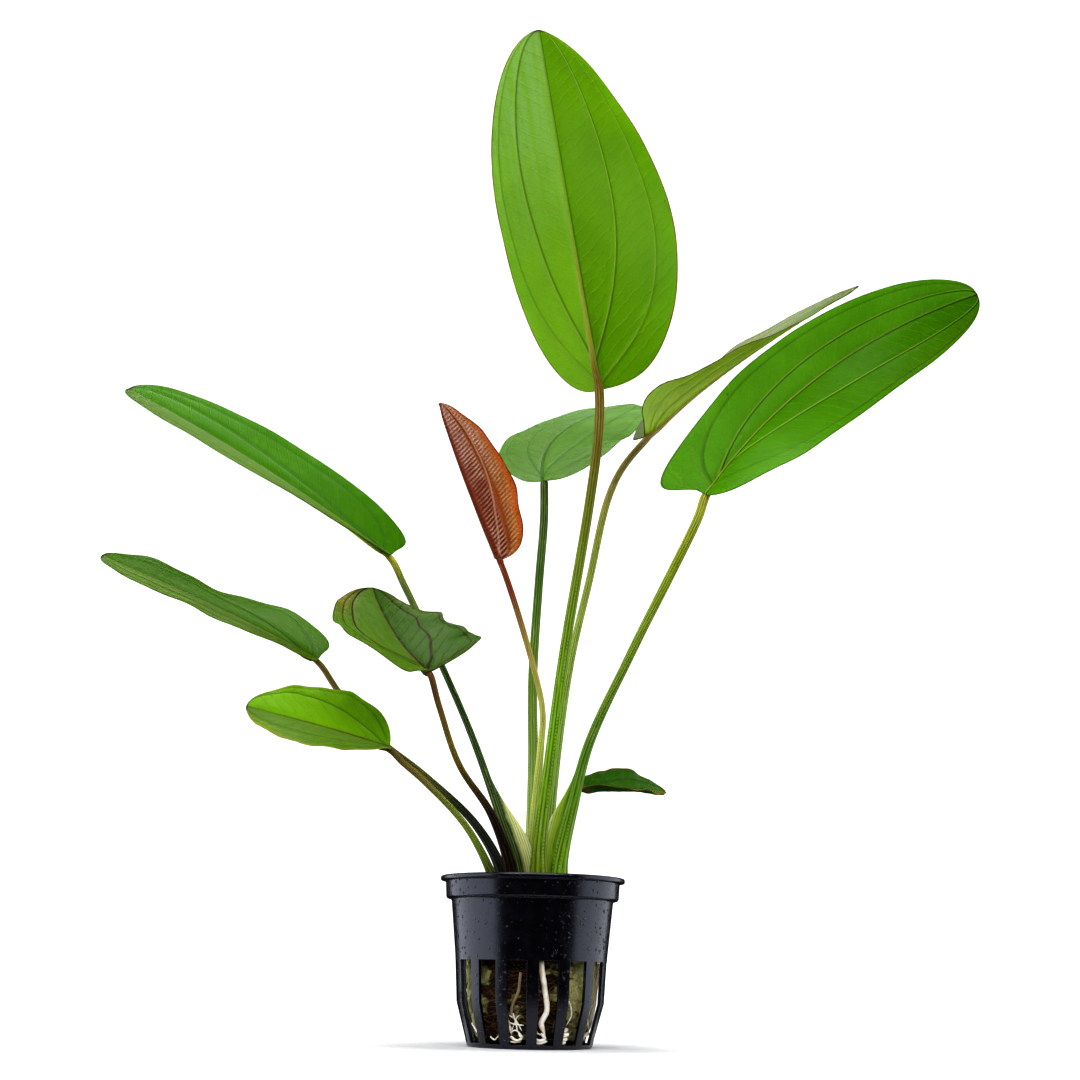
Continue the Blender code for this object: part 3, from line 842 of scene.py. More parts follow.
@dataclass
class NetPot:
    """The slotted pot: a turned shell whose wall and floor are opened by slots."""

    height: float
    rim_radius: float
    wall: float = 1.0
    floor: float = 1.0
    rim: float = 1.4
    collar_radius: float = 25.9
    collar_height: float = 6.6
    shoulder_radius: float = 24.1
    waist_radius: float = 21.7
    waist_height: float = 12.5
    middle_radius: float = 22.5
    middle_height: float = 26.0
    base_radius: float = 18.2
    slots: int = 15
    slot_phase: float = 13.5  # degrees that the first slot lies to the right of the front
    slot_bottom: float = 1.25
    slot_top: float = 24.3
    drains: int = 5
    drain_inner: float = 5.0
    drain_outer: float = 12.0
    columns: int = 13  # faces round the pot from slot to slot
    slot_columns: int = 8  # and those that a slot takes
    edge: float = 0.22  # how far the edges are rounded
    finish: PlasticFinish = PlasticFinish()

    def wall_radius(self, z: float) -> float:
        """Find the outer wall below the collar.

        Args:
            z: a height.

        Returns:
            The wall's outer radius there.
        """
        heights = (0.0, self.waist_height, self.middle_height, self.height - self.collar_height)
        radii = (self.base_radius, self.waist_radius, self.middle_radius, self.shoulder_radius)
        return float(np.interp(z, heights, radii))

    def profile(self) -> list:
        """Draw the section, from the floor's inner middle up the inside and down the outside.

        Returns:
            Pairs of a radius and a height.
        """
        shoulder = self.height - self.collar_height
        under_rim = self.height - self.rim
        mouth = self.collar_radius - self.wall
        levels = (self.slot_bottom, 6.0, self.waist_height, 19.0, self.slot_top, self.middle_height, 34.0)
        outside = [(self.wall_radius(z), z) for z in levels]
        return [
            (0.0, self.floor),
            (self.drain_inner, self.floor),
            (self.drain_outer, self.floor),
            (self.wall_radius(self.floor) - self.wall - 0.3, self.floor),
            *((radius - self.wall, z) for radius, z in outside),
            (self.shoulder_radius - self.wall, shoulder - 0.4),
            (mouth - 0.25, shoulder + 0.9),
            (mouth, shoulder + 1.8),
            (mouth, self.height - 0.35),
            (mouth + 0.1, self.height - 0.1),
            (mouth + 0.35, self.height),
            (self.rim_radius - 0.55, self.height),
            (self.rim_radius - 0.2, self.height - 0.12),
            (self.rim_radius, self.height - 0.45),
            (self.rim_radius, under_rim + 0.35),
            (self.rim_radius - 0.25, under_rim),
            (self.collar_radius + 0.35, under_rim),
            (self.collar_radius + 0.05, under_rim - 0.3),
            (self.collar_radius + 0.04, under_rim - 0.7),
            (self.collar_radius - 0.18, shoulder + 1.0),
            (self.collar_radius - 0.2, shoulder + 0.6),
            (self.collar_radius - 0.45, shoulder + 0.15),
            (self.collar_radius - 0.8, shoulder),
            (self.shoulder_radius + 0.2, shoulder - 0.1),
            (self.shoulder_radius, shoulder - 0.5),
            (self.wall_radius(shoulder - 0.9), shoulder - 0.9),
            *reversed(outside),
            (self.base_radius + 0.12, 0.45),
            (self.base_radius - 0.15, 0.12),
            (self.base_radius - 0.5, 0.0),
            (self.drain_outer, 0.0),
            (self.drain_inner, 0.0),
            (0.0, 0.0),
        ]

    def open_sector(
        self, bm: bmesh.types.BMesh, middle: float, reach: float, low: tuple, high: tuple
    ) -> None:
        """Cut one hole through two skins and wall its sides.

        Args:
            bm: the pot.
            middle: the hole's angle about Z, in degrees.
            reach: half its angle, in degrees.
            low: lowest radius and height of the faces to take out.
            high: highest radius and height of them.
        """
        def inside(face: bmesh.types.BMFace) -> bool:
            """Whether the face is one of those to take out.

            Args:
                face: a face of the pot.

            Returns:
                True where its middle lies in the sector.
            """
            centre = face.calc_center_median() / MM
            turn = math.degrees(math.atan2(centre.y, centre.x)) - middle
            radius = math.hypot(centre.x, centre.y)
            near = abs((turn + 180.0) % 360.0 - 180.0) < reach
            return near and low[0] < radius < high[0] and low[1] < centre.z < high[1]

        gone = [face for face in bm.faces if inside(face)]
        rims = dict.fromkeys(edge for face in gone for edge in face.edges)
        bmesh.ops.delete(bm, geom=gone, context="FACES")
        bmesh.ops.bridge_loops(bm, edges=[edge for edge in rims if edge.is_valid and edge.is_boundary])

    def build(self) -> bpy.types.Object:
        """Make the pot and dress it.

        Returns:
            The pot.
        """
        reach = 360.0 / self.slots / self.columns * self.slot_columns / 2
        first = self.slot_phase - 90.0
        bm = turned(self.profile(), self.slots * self.columns, first - reach)
        behind = self.base_radius - 3 * self.wall
        for count, low, high in (
            (self.slots, (behind, self.slot_bottom), (self.rim_radius, self.slot_top)),
            (self.drains, (self.drain_inner, -1.0), (self.drain_outer, self.floor + 0.1)),
        ):
            for i in range(count):
                self.open_sector(bm, first + 360.0 / count * i, reach, low, high)
        bmesh.ops.recalc_face_normals(bm, faces=bm.faces)
        pot = Piece.from_bmesh("slotted_net_pot", bm)
        bevel = pot.modifiers.new("rounded_edges", "BEVEL")
        bevel.width = self.edge * MM
        bevel.segments = 2
        bevel.limit_method = "ANGLE"
        bevel.angle_limit = math.radians(50.0)
        bevel.harden_normals = True
        return Piece.finish(pot, self.finish.material(), "pot_plastic", "net_pot")


@dataclass
class RockWool:
    """The plug of rock wool: a lumpy turned body with loose fibres over it."""

    pot: NetPot
    top: float
    packed_from: float = 27.5  # above this height it fills the pot
    easing: float = 2.5  # how far below that it reaches its clearance from the slotted wall
    slot_clearance: float = 2.4
    gap: float = 0.35
    well: float = 14.0
    well_floor: float = 35.5
    steps: int = 150  # faces round the plug
    fibres: int = 900
    fibre_length: tuple[float, float] = (3.5, 9.0)
    fibre_radius: tuple[float, float] = (0.045, 0.10)
    stations: int = 7  # points along a fibre
    seed: int = 11
    felt: WoolFinish = WoolFinish()
    # the loose strands are painted lighter, with less painted shade between them
    loose: WoolFinish = WoolFinish(tint(226, 222, 170), tint(178, 176, 108), tint(128, 92, 58), shade=1.3)

    def inner(self, z: float, clearance: float) -> float:
        """Radius of the plug where it stands that far off the wall."""
        return self.pot.wall_radius(z) - self.pot.wall - clearance

    def side_radius(self, z: float) -> float:
        """Find the plug's side.

        Args:
            z: a height.

        Returns:
            The side's radius there.
        """
        loose = self.packed_from - self.easing
        if z >= self.packed_from:
            return self.inner(min(z, self.top - 4.5), self.gap)
        if z <= loose:
            return self.inner(z, self.slot_clearance)
        share = (z - loose) / (self.packed_from - loose)
        return self.inner(z, self.slot_clearance + (self.gap - self.slot_clearance) * share)

    def profile(self) -> list:
        """Draw the plug's section, from the well's middle over the top and down the side.

        Returns:
            Pairs of a radius and a height.
        """
        side = [(self.side_radius(z), z) for z in np.linspace(self.top - 1.0, self.pot.floor + 2.0, 46)]
        foot = self.side_radius(self.pot.floor + 2.0) - 1.2
        bottom = self.pot.floor + self.gap
        rim = side[0][0]
        return [
            (0.0, self.well_floor),
            *((r, self.well_floor) for r in (4.0, 8.0)),
            (self.well - 2.5, self.well_floor + 1.0),
            (self.well, self.well_floor + 4.0),
            (self.well - 0.5, self.top - 2.5),
            (self.well - 0.9, self.top - 1.0),
            *((r, self.top - 0.3) for r in np.linspace(self.well - 0.5, rim - 0.8, 12)),
            *side,
            *((r, bottom) for r in np.linspace(foot, 0.0, 8)),
        ]

    def shag(self, bm: bmesh.types.BMesh) -> None:
        """Roughen the plug, less where it is close to the pot.

        Args:
            bm: the plug.
        """
        bm.normal_update()
        for vert in bm.verts:
            lump = noise.noise(vert.co * 260.0) * 0.5 + noise.noise(vert.co * 900.0) * 0.35
            z = vert.co.z / MM
            free = 0.55 if z < self.packed_from - self.easing or z > self.top - 1.5 else 0.12
            sunk = 0.105 if z < self.pot.floor + 2.5 else 0.0
            vert.co += vert.normal * (min(lump, 0.35) * free - sunk) * MM * 1.3

    def over_top(
        self, rng: np.random.Generator, turn: float, along: np.ndarray, wave: np.ndarray
    ) -> np.ndarray:
        """Lead a fibre over the plug's top.

        Args:
            rng: the source of the random draws.
            turn: the angle where the fibre lies.
            along: lengths along it from its middle.
            wave: how far it strays sideways at each.

        Returns:
            Its points, level with the top.
        """
        rim = self.side_radius(self.top - 1.0)
        start = np.array((math.cos(turn), math.sin(turn))) * rng.uniform(self.well - 0.5, rim - 1.5)
        course = rng.uniform(0.0, math.tau)
        ahead = np.array((math.cos(course), math.sin(course)))
        aside = np.array((-ahead[1], ahead[0]))
        flat = start + np.outer(along, ahead) + np.outer(wave, aside)
        radius = np.clip(np.hypot(*flat.T), self.well - 1.4, rim - 0.7)
        return flat / np.hypot(*flat.T)[:, None] * radius[:, None]

    def strands(self) -> tuple[list, list]:
        """Lay loose fibres over the side and the top.

        Returns:
            The fibres' routes, and the radii along each.
        """
        rng = np.random.default_rng(self.seed)
        steps = np.linspace(0.0, 1.0, self.stations)
        routes, radii = [], []
        for number in range(self.fibres):
            turn = rng.uniform(0.0, math.tau)
            along = (steps - 0.5) * rng.uniform(*self.fibre_length)
            wave = rng.uniform(0.3, 1.1) * np.sin(steps * rng.uniform(3.0, 7.0) + rng.uniform(0.0, 6.0))
            lift = 0.06 + 0.30 * np.sin(steps * math.pi) * rng.uniform(0.1, 1.0)
            if number % 3 == 0:
                routes.append(np.c_[self.over_top(rng, turn, along, wave), self.top - 0.15 + lift])
            else:
                middle = rng.uniform(self.pot.floor + 2.0, self.packed_from - 2.0)
                z = middle + along * rng.normal(0.0, 0.8) * 0.7 + wave
                z = np.clip(z, self.pot.floor + 1.2, self.packed_from - 2.6)
                radius = np.array([self.side_radius(height) for height in z]) + lift
                angle = turn + along / 18.0
                routes.append(np.c_[radius * np.cos(angle), radius * np.sin(angle), z])
            radii.append(np.full(len(steps), rng.uniform(*self.fibre_radius)))
        return routes, radii

    def build(self) -> list[bpy.types.Object]:
        """Make the plug and its fibres and dress them.

        Returns:
            The plug and the fibres.
        """
        bm = turned(self.profile(), self.steps)
        self.shag(bm)
        plug = Piece.from_bmesh("rock_wool_plug", bm)
        Piece.finish(plug, self.felt.material("rock_wool_felt"), "rock_wool", "rock_wool")
        fibres = tubes("rock_wool_fibres", *self.strands(), 0)
        return [plug, Piece.finish(fibres, self.loose.material("rock_wool_strands"), "rock_wool")]


@dataclass
class Crown:
    """The rootstock: a low lumpy dome, ringed by old leaf scars."""

    centre: tuple[float, float]
    top: float
    radius: float = 12.4
    depth: float = 9.0
    rise: float = 1.2  # height of the dome
    steps: int = 150  # faces round the crown

    def build(self) -> bpy.types.Object:
        """Make the crown and dress it.

        Returns:
            The crown.
        """
        angles = np.linspace(0.0, 1.35, 30)
        brow = self.top - self.rise
        shoulder = self.top - 1.6
        profile = [
            *((self.radius * math.sin(a), brow + self.rise * math.cos(a)) for a in angles),
            (self.radius, shoulder),
            *((self.radius - 3.0 * s, shoulder - s * (0.7 * self.depth - 1.6)) for s in (0.33, 0.66, 1.0)),
            (self.radius - 6.0, self.top - self.depth),
            (0.0, self.top - self.depth),
        ]
        bm = turned(profile, self.steps)
        for vert in bm.verts:
            radius = math.hypot(vert.co.x, vert.co.y) / MM
            turn = math.atan2(vert.co.y, vert.co.x)
            scar = 0.30 * math.cos(radius * 2.6 + 1.4 * math.sin(turn * 3.0)) - 0.30
            lump = 0.9 * noise.noise(vert.co * 330.0) + 0.5 * noise.noise(vert.co * 900.0) - 0.45
            vert.co.z += (scar + lump * 0.8) * MM
            vert.co.x *= 1.0 + 0.02 * (lump - 0.5)
            vert.co.y *= 1.0 + 0.02 * (lump - 0.5)
        bmesh.ops.translate(bm, vec=Vector((*self.centre, 0.0)) * MM, verts=bm.verts)
        crown = Piece.from_bmesh("rootstock_crown", bm)
        return Piece.finish(crown, CrownFinish().material(), "crown", "crown")


@dataclass(frozen=True)
class Vein:
    """A lateral vein: it leaves the midrib at start and nears its reach of the half width within climb."""

    reach: float
    climb: float
    start: float = 0.02

    def share(self, t: np.ndarray) -> np.ndarray:
        """Where the vein lies across the half blade, at each place along it."""
        return self.reach * (1.0 - np.exp(-np.clip(t - self.start, 0.0, 1.0) / self.climb))


@dataclass(frozen=True)
class Wave:
    """A local rise or point of the margin."""

    t: float
    half: int  # -1 for the left half and 1 for the right one
    out: float  # away from the midrib
    lift: float = 0.0  # towards the upper side
    spread: float = 0.11  # share of the blade's length

    def weight(self, t: np.ndarray, across: np.ndarray) -> np.ndarray:
        """How much of the wave each point has."""
        return (across * self.half > 0.0) * np.exp(-(((t - self.t) / self.spread) ** 2))


@dataclass(frozen=True)
class Sheath:
    """The thin wing that a petiole's foot spreads to one side."""

    towards: tuple[float, float]
    width: float
    top: float  # height above the foot where it ends
    peak: float  # and where it is widest
    edge: float = 0.34  # how far round the stalk it spreads, in radians


@dataclass(frozen=True)
class Leaf:
    """One leaf: its petiole runs from foot through via to base, and its blade from base to tip."""

    number: int
    foot: Point
    via: tuple
    base: Point
    tip: Point
    facing: tuple[float, float]  # azimuth and elevation of the upper surface, degrees
    width: float
    stem: tuple[float, float]  # the petiole's diameter at its foot and at the blade
    blade: BladeFinish
    petiole: PetioleFinish
    slots: tuple[str, str]  # material slots of the blade and of the petiole
    fold: tuple[float, float] = (10.0, 10.0)
    curl: float = 0.0
    bow: float = 0.0
    sweep: float = 0.0
    twist: float = 0.0
    lobes: tuple[float, float] = (0.03, 0.03)
    halves: tuple[float, float] = (1.0, 1.0)
    fullness: tuple[float, float] = (2.1, 1.8)
    peak: float = 0.44
    waves: tuple = ()
    sheath: Sheath | None = None
    inner: tuple[Vein, Vein] = (Vein(0.55, 0.22, 0.03),) * 2  # on the left and on the right half
    outer: tuple[Vein, Vein] = (Vein(0.86, 0.09),) * 2
    crease: float = 0.30
    quilt: float = 0.05
    flutter: float = 0.35


@dataclass
class Blade:
    """A leaf blade: a sheet laid on the leaf's surface, with creased veins and a ridged underside."""

    leaf: Leaf
    fewest_rows: int = 150
    most_rows: int = 330
    columns: int = 66
    thickness: float = 0.42
    lobe_reach: float = 0.04
    row_crowding: float = 0.11  # how much closer the rows lie towards base and tip
    column_crowding: float = 0.62  # how much closer the columns lie along the veins
    crease_widths: tuple[float, float] = (1.3, 0.8)  # of the midrib and of a lateral vein, on the upper side
    vein_creases: tuple[float, float] = (0.55, 0.30)  # depth of the inner and outer vein's, as shares
    rib_height: float = 1.1  # of the midrib on the lower side
    rib_width: float = 0.75
    vein_heights: tuple[float, float] = (0.30, 0.14)  # of the inner and outer vein on the lower side
    vein_width: float = 0.45
    thinning: float = 0.5  # share of its thickness that the blade loses at the margin
    step: float = 0.004  # share of the blade's length over which slopes are measured

    def lateral(self, pair: tuple[Vein, Vein], t: np.ndarray, across: np.ndarray) -> np.ndarray:
        """Share of the half width where a pair's own vein lies, for points on either half."""
        return np.where(across > 0.0, pair[1].share(t), pair[0].share(t))

    def reach(self, t: np.ndarray, column: np.ndarray) -> np.ndarray:
        """Share of the half width at a column, so that columns lie along the veins.

        Args:
            t: places along the blade.
            column: places from -1 to 1 on the sheet's even grid.

        Returns:
            The signed share of the half width.
        """
        later = np.maximum(t, 0.02)
        inner = np.clip(self.lateral(self.leaf.inner, later, column), 0.04, 0.80)
        outer = np.clip(self.lateral(self.leaf.outer, later, column), inner + 0.08, 0.94)
        knots = np.stack((np.zeros_like(t), inner, outer, np.ones_like(t)))
        band = np.minimum((3 * np.abs(column)).astype(int), 2)
        local = 3 * np.abs(column) - band
        local = local - self.column_crowding * np.sin(math.tau * local) / math.tau
        low, high = knots[band, np.arange(len(t))], knots[band + 1, np.arange(len(t))]
        return np.sign(column) * (low + local * (high - low))

    def half_width(self, t: np.ndarray) -> np.ndarray:
        """Find the blade's outline.

        Args:
            t: places along the blade.

        Returns:
            The share of the half width at each.
        """
        leaf = self.leaf
        toward_base = t < leaf.peak
        x = np.where(toward_base, (leaf.peak - t) / leaf.peak, (t - leaf.peak) / (1.0 - leaf.peak))
        x = np.minimum(x, 1.0)
        full = np.where(toward_base, *leaf.fullness)
        return np.maximum(1.0 - x**full, 0.0) ** (1.0 / full)

    def span(self, t: np.ndarray, across: np.ndarray) -> np.ndarray:
        """Find how wide the blade is at points of it.

        Args:
            t: places along the blade.
            across: places across it, from -1 to 1.

        Returns:
            The width of the half that each point lies on, in millimetres.
        """
        leaf = self.leaf
        span = leaf.width / 2 * self.half_width(t) * np.where(across > 0.0, leaf.halves[1], leaf.halves[0])
        for wave in leaf.waves:
            span = span + wave.weight(t, across) * wave.out
        return span

    def gap(self, pair: tuple[Vein, Vein], t: np.ndarray, across: np.ndarray) -> np.ndarray:
        """Measure how far points are from a lateral vein, square to it.

        Args:
            pair: the vein on the left and on the right half.
            t: places along the blade.
            across: places across it, from -1 to 1.

        Returns:
            The distances in millimetres, positive towards the margin.
        """
        places = (t - self.step, t, t + self.step)
        before, here, after = (self.lateral(pair, at, across) * self.span(at, across) for at in places)
        slope = (after - before) / (2 * self.step * math.dist(self.leaf.base, self.leaf.tip))
        return (np.abs(across) * self.span(t, across) - here) / np.sqrt(1.0 + slope**2)

    def relief(self, t: np.ndarray, across: np.ndarray, span: np.ndarray) -> np.ndarray:
        """Raise the whole sheet: creases along the veins, quilting and a fluttered margin.

        Args:
            t: places along the blade.
            across: places across it, from -1 to 1.
            span: the half width there.

        Returns:
            The rise in millimetres.
        """
        leaf = self.leaf
        reach = np.abs(across)
        along = t * math.dist(leaf.base, leaf.tip)
        body = smoothstep(t, 0.0, 0.06) * smoothstep(t, 1.0, 0.9)
        middle, lateral = self.crease_widths
        rise = -leaf.crease * np.exp(-((reach * span / middle) ** 2)) * body
        for pair, depth in zip((leaf.inner, leaf.outer), self.vein_creases):
            rise = rise - depth * leaf.crease * np.exp(-((self.gap(pair, t, across) / lateral) ** 2)) * body
        spacing = leaf.blade.cross_spacing
        drift = 1.1 * np.sin(11.0 * t + 2.3 * reach + leaf.number) + 0.7 * np.sin(27.0 * t - 4.1 * reach)
        fuller = 0.6 + 0.4 * np.sin(19.0 * t + 5.0 * reach + 2.0 * leaf.number)
        slanted = math.tau * (along - leaf.blade.cross_slope * reach * span) / spacing
        rise = rise + leaf.quilt * fuller * np.cos(slanted + drift) * body
        phase = leaf.number * 1.7 + np.sign(across)
        flutter = np.sin(t * 17.0 + phase) + 0.6 * np.sin(t * 31.0 + 2.0 * phase)
        rise = rise + leaf.flutter * flutter * reach**3 * body
        for wave in leaf.waves:
            rise = rise + wave.weight(t, across) * wave.lift * reach**2
        return rise

    def surface(self, t: np.ndarray, across: np.ndarray) -> np.ndarray:
        """Points of the blade's middle surface.

        Args:
            t: places along the blade, nought at the base and one at the tip.
            across: places across it, from -1 at the left margin to 1 at the right one.

        Returns:
            An array of points in millimetres.
        """
        leaf = self.leaf
        base = np.array(leaf.base)
        chord = np.array(leaf.tip) - base
        length = np.linalg.norm(chord)
        ahead = chord / length
        side = unit(np.cross(ahead, direction(*leaf.facing)))
        normal = np.cross(side, ahead)
        arch = (4.0 * t * (1.0 - t))[:, None]
        midrib = base + np.outer(t * length, ahead) + normal * arch * leaf.bow + side * arch * leaf.sweep
        turn = (math.radians(leaf.twist) * (t - 0.5))[:, None]
        right = side * np.cos(turn) + normal * np.sin(turn)
        up = normal * np.cos(turn) - side * np.sin(turn)
        reach = np.abs(across)
        span = self.span(t, across)
        fold = np.radians(leaf.fold[0] + (leaf.fold[1] - leaf.fold[0]) * t)
        rise = reach * span * np.sin(fold) + leaf.curl * span * reach**2 + self.relief(t, across, span)
        lobe = np.where(across > 0.0, leaf.lobes[1], leaf.lobes[0])
        back = lobe * length * reach**1.5 * t / self.lobe_reach * np.exp(1.0 - t / self.lobe_reach)
        sideways = right * (across * span * np.cos(fold))[:, None]
        return midrib + sideways + up * rise[:, None] - np.outer(back, ahead)

    def normals(self, t: np.ndarray, across: np.ndarray) -> np.ndarray:
        """Find the directions out of the blade's upper side.

        Args:
            t: places along the blade.
            across: places across it, from -1 to 1.

        Returns:
            An array of unit vectors.
        """
        step = self.step
        t = np.clip(t, 2 * step, 1.0 - 2 * step)
        low, high = np.clip(across - step * 4, -1.0, 1.0), np.clip(across + step * 4, -1.0, 1.0)
        lengthwise = self.surface(t + step, across) - self.surface(t - step, across)
        crosswise = self.surface(t, high) - self.surface(t, low)
        return unit(np.cross(crosswise, lengthwise))

    def underside(self, t: np.ndarray, across: np.ndarray) -> np.ndarray:
        """Raise the midrib and the veins on the lower side.

        Args:
            t: places along the blade.
            across: places across it, from -1 to 1.

        Returns:
            How far they stand out, in millimetres.
        """
        leaf = self.leaf
        reach = np.abs(across)
        span = self.span(t, across)
        thin = (1.0 - t) ** 1.1
        width = self.rib_width * (0.35 + 0.65 * thin)
        ridge = self.rib_height * thin * np.exp(-((reach * span / width) ** 2))
        for pair, height in zip((leaf.inner, leaf.outer), self.vein_heights):
            vein = np.exp(-((self.gap(pair, t, across) / self.vein_width) ** 2))
            ridge = ridge + height * (0.3 + 0.7 * thin) * vein
        return ridge * smoothstep(t, 0.0, 0.03)

    def build(self) -> bpy.types.Object:
        """Make the blade and dress it.

        Returns:
            The blade.
        """
        leaf = self.leaf
        bm = bmesh.new()
        place = bm.verts.layers.float_vector.new("place")
        length = math.dist(leaf.base, leaf.tip)
        rows = int(np.clip(5 * length / leaf.blade.cross_spacing, self.fewest_rows, self.most_rows))
        grid = bmesh.ops.create_grid(bm, x_segments=rows, y_segments=self.columns, size=1.0)["verts"]
        row, column = np.array([vert.co.xy for vert in grid]).T
        row = (row + 1.0) / 2
        t = np.clip(row - self.row_crowding * np.sin(math.tau * row), 0.0, 1.0)
        across = np.where((row < 1e-4) | (row > 1.0 - 1e-4), 0.0, self.reach(t, -column))
        for vert, co, *spot in zip(grid, self.surface(t, across) * MM, t, across):
            vert.co = co
            vert[place] = (*spot, 0.0)
        bmesh.ops.remove_doubles(bm, verts=bm.verts, dist=MERGE)
        upper = set(bm.verts)
        bmesh.ops.solidify(bm, geom=bm.faces, thickness=self.thickness * MM)
        for vert in bm.verts:
            if vert not in upper:
                vert[place] = (*vert[place][:2], 1.0)
        t, across, under = np.array([vert[place] for vert in bm.verts]).T
        thinned = 1.0 - self.thinning * np.abs(across) ** 6
        offset = np.where(under > 0.5, -self.underside(t, across) - self.thickness / 2, self.thickness / 2)
        points = self.surface(t, across) + self.normals(t, across) * (offset * thinned)[:, None]
        for vert, co in zip(bm.verts, points * MM):
            vert.co = co
        bmesh.ops.recalc_face_normals(bm, faces=bm.faces)
        blade = Piece.from_bmesh(f"blade_{leaf.number}", bm)
        self.mark(blade, t, across, under)
        skin = leaf.blade.material(blade.name + "_skin")
        return Piece.finish(blade, skin, leaf.slots[0], f"leaf_{leaf.number}")

    def mark(self, blade: bpy.types.Object, t: np.ndarray, across: np.ndarray, under: np.ndarray) -> None:
        """Write the places that the finish reads, in millimetres and in shares.

        Args:
            blade: the blade.
            t: places along it.
            across: places across it, from -1 to 1.
            under: nought on the upper side and one on the lower one.
        """
        span = self.span(t, across)
        inner = self.gap(self.leaf.inner, t, across) * np.sign(across)
        outer = self.gap(self.leaf.outer, t, across) * np.sign(across)
        marks = {
            "blade_mm": (t * math.dist(self.leaf.base, self.leaf.tip), across * span, under),
            "vein_mm": (inner, outer, (1.0 - np.abs(across)) * span),
            "blade_share": (t, across, under),
        }
        Piece.mark(blade, marks)


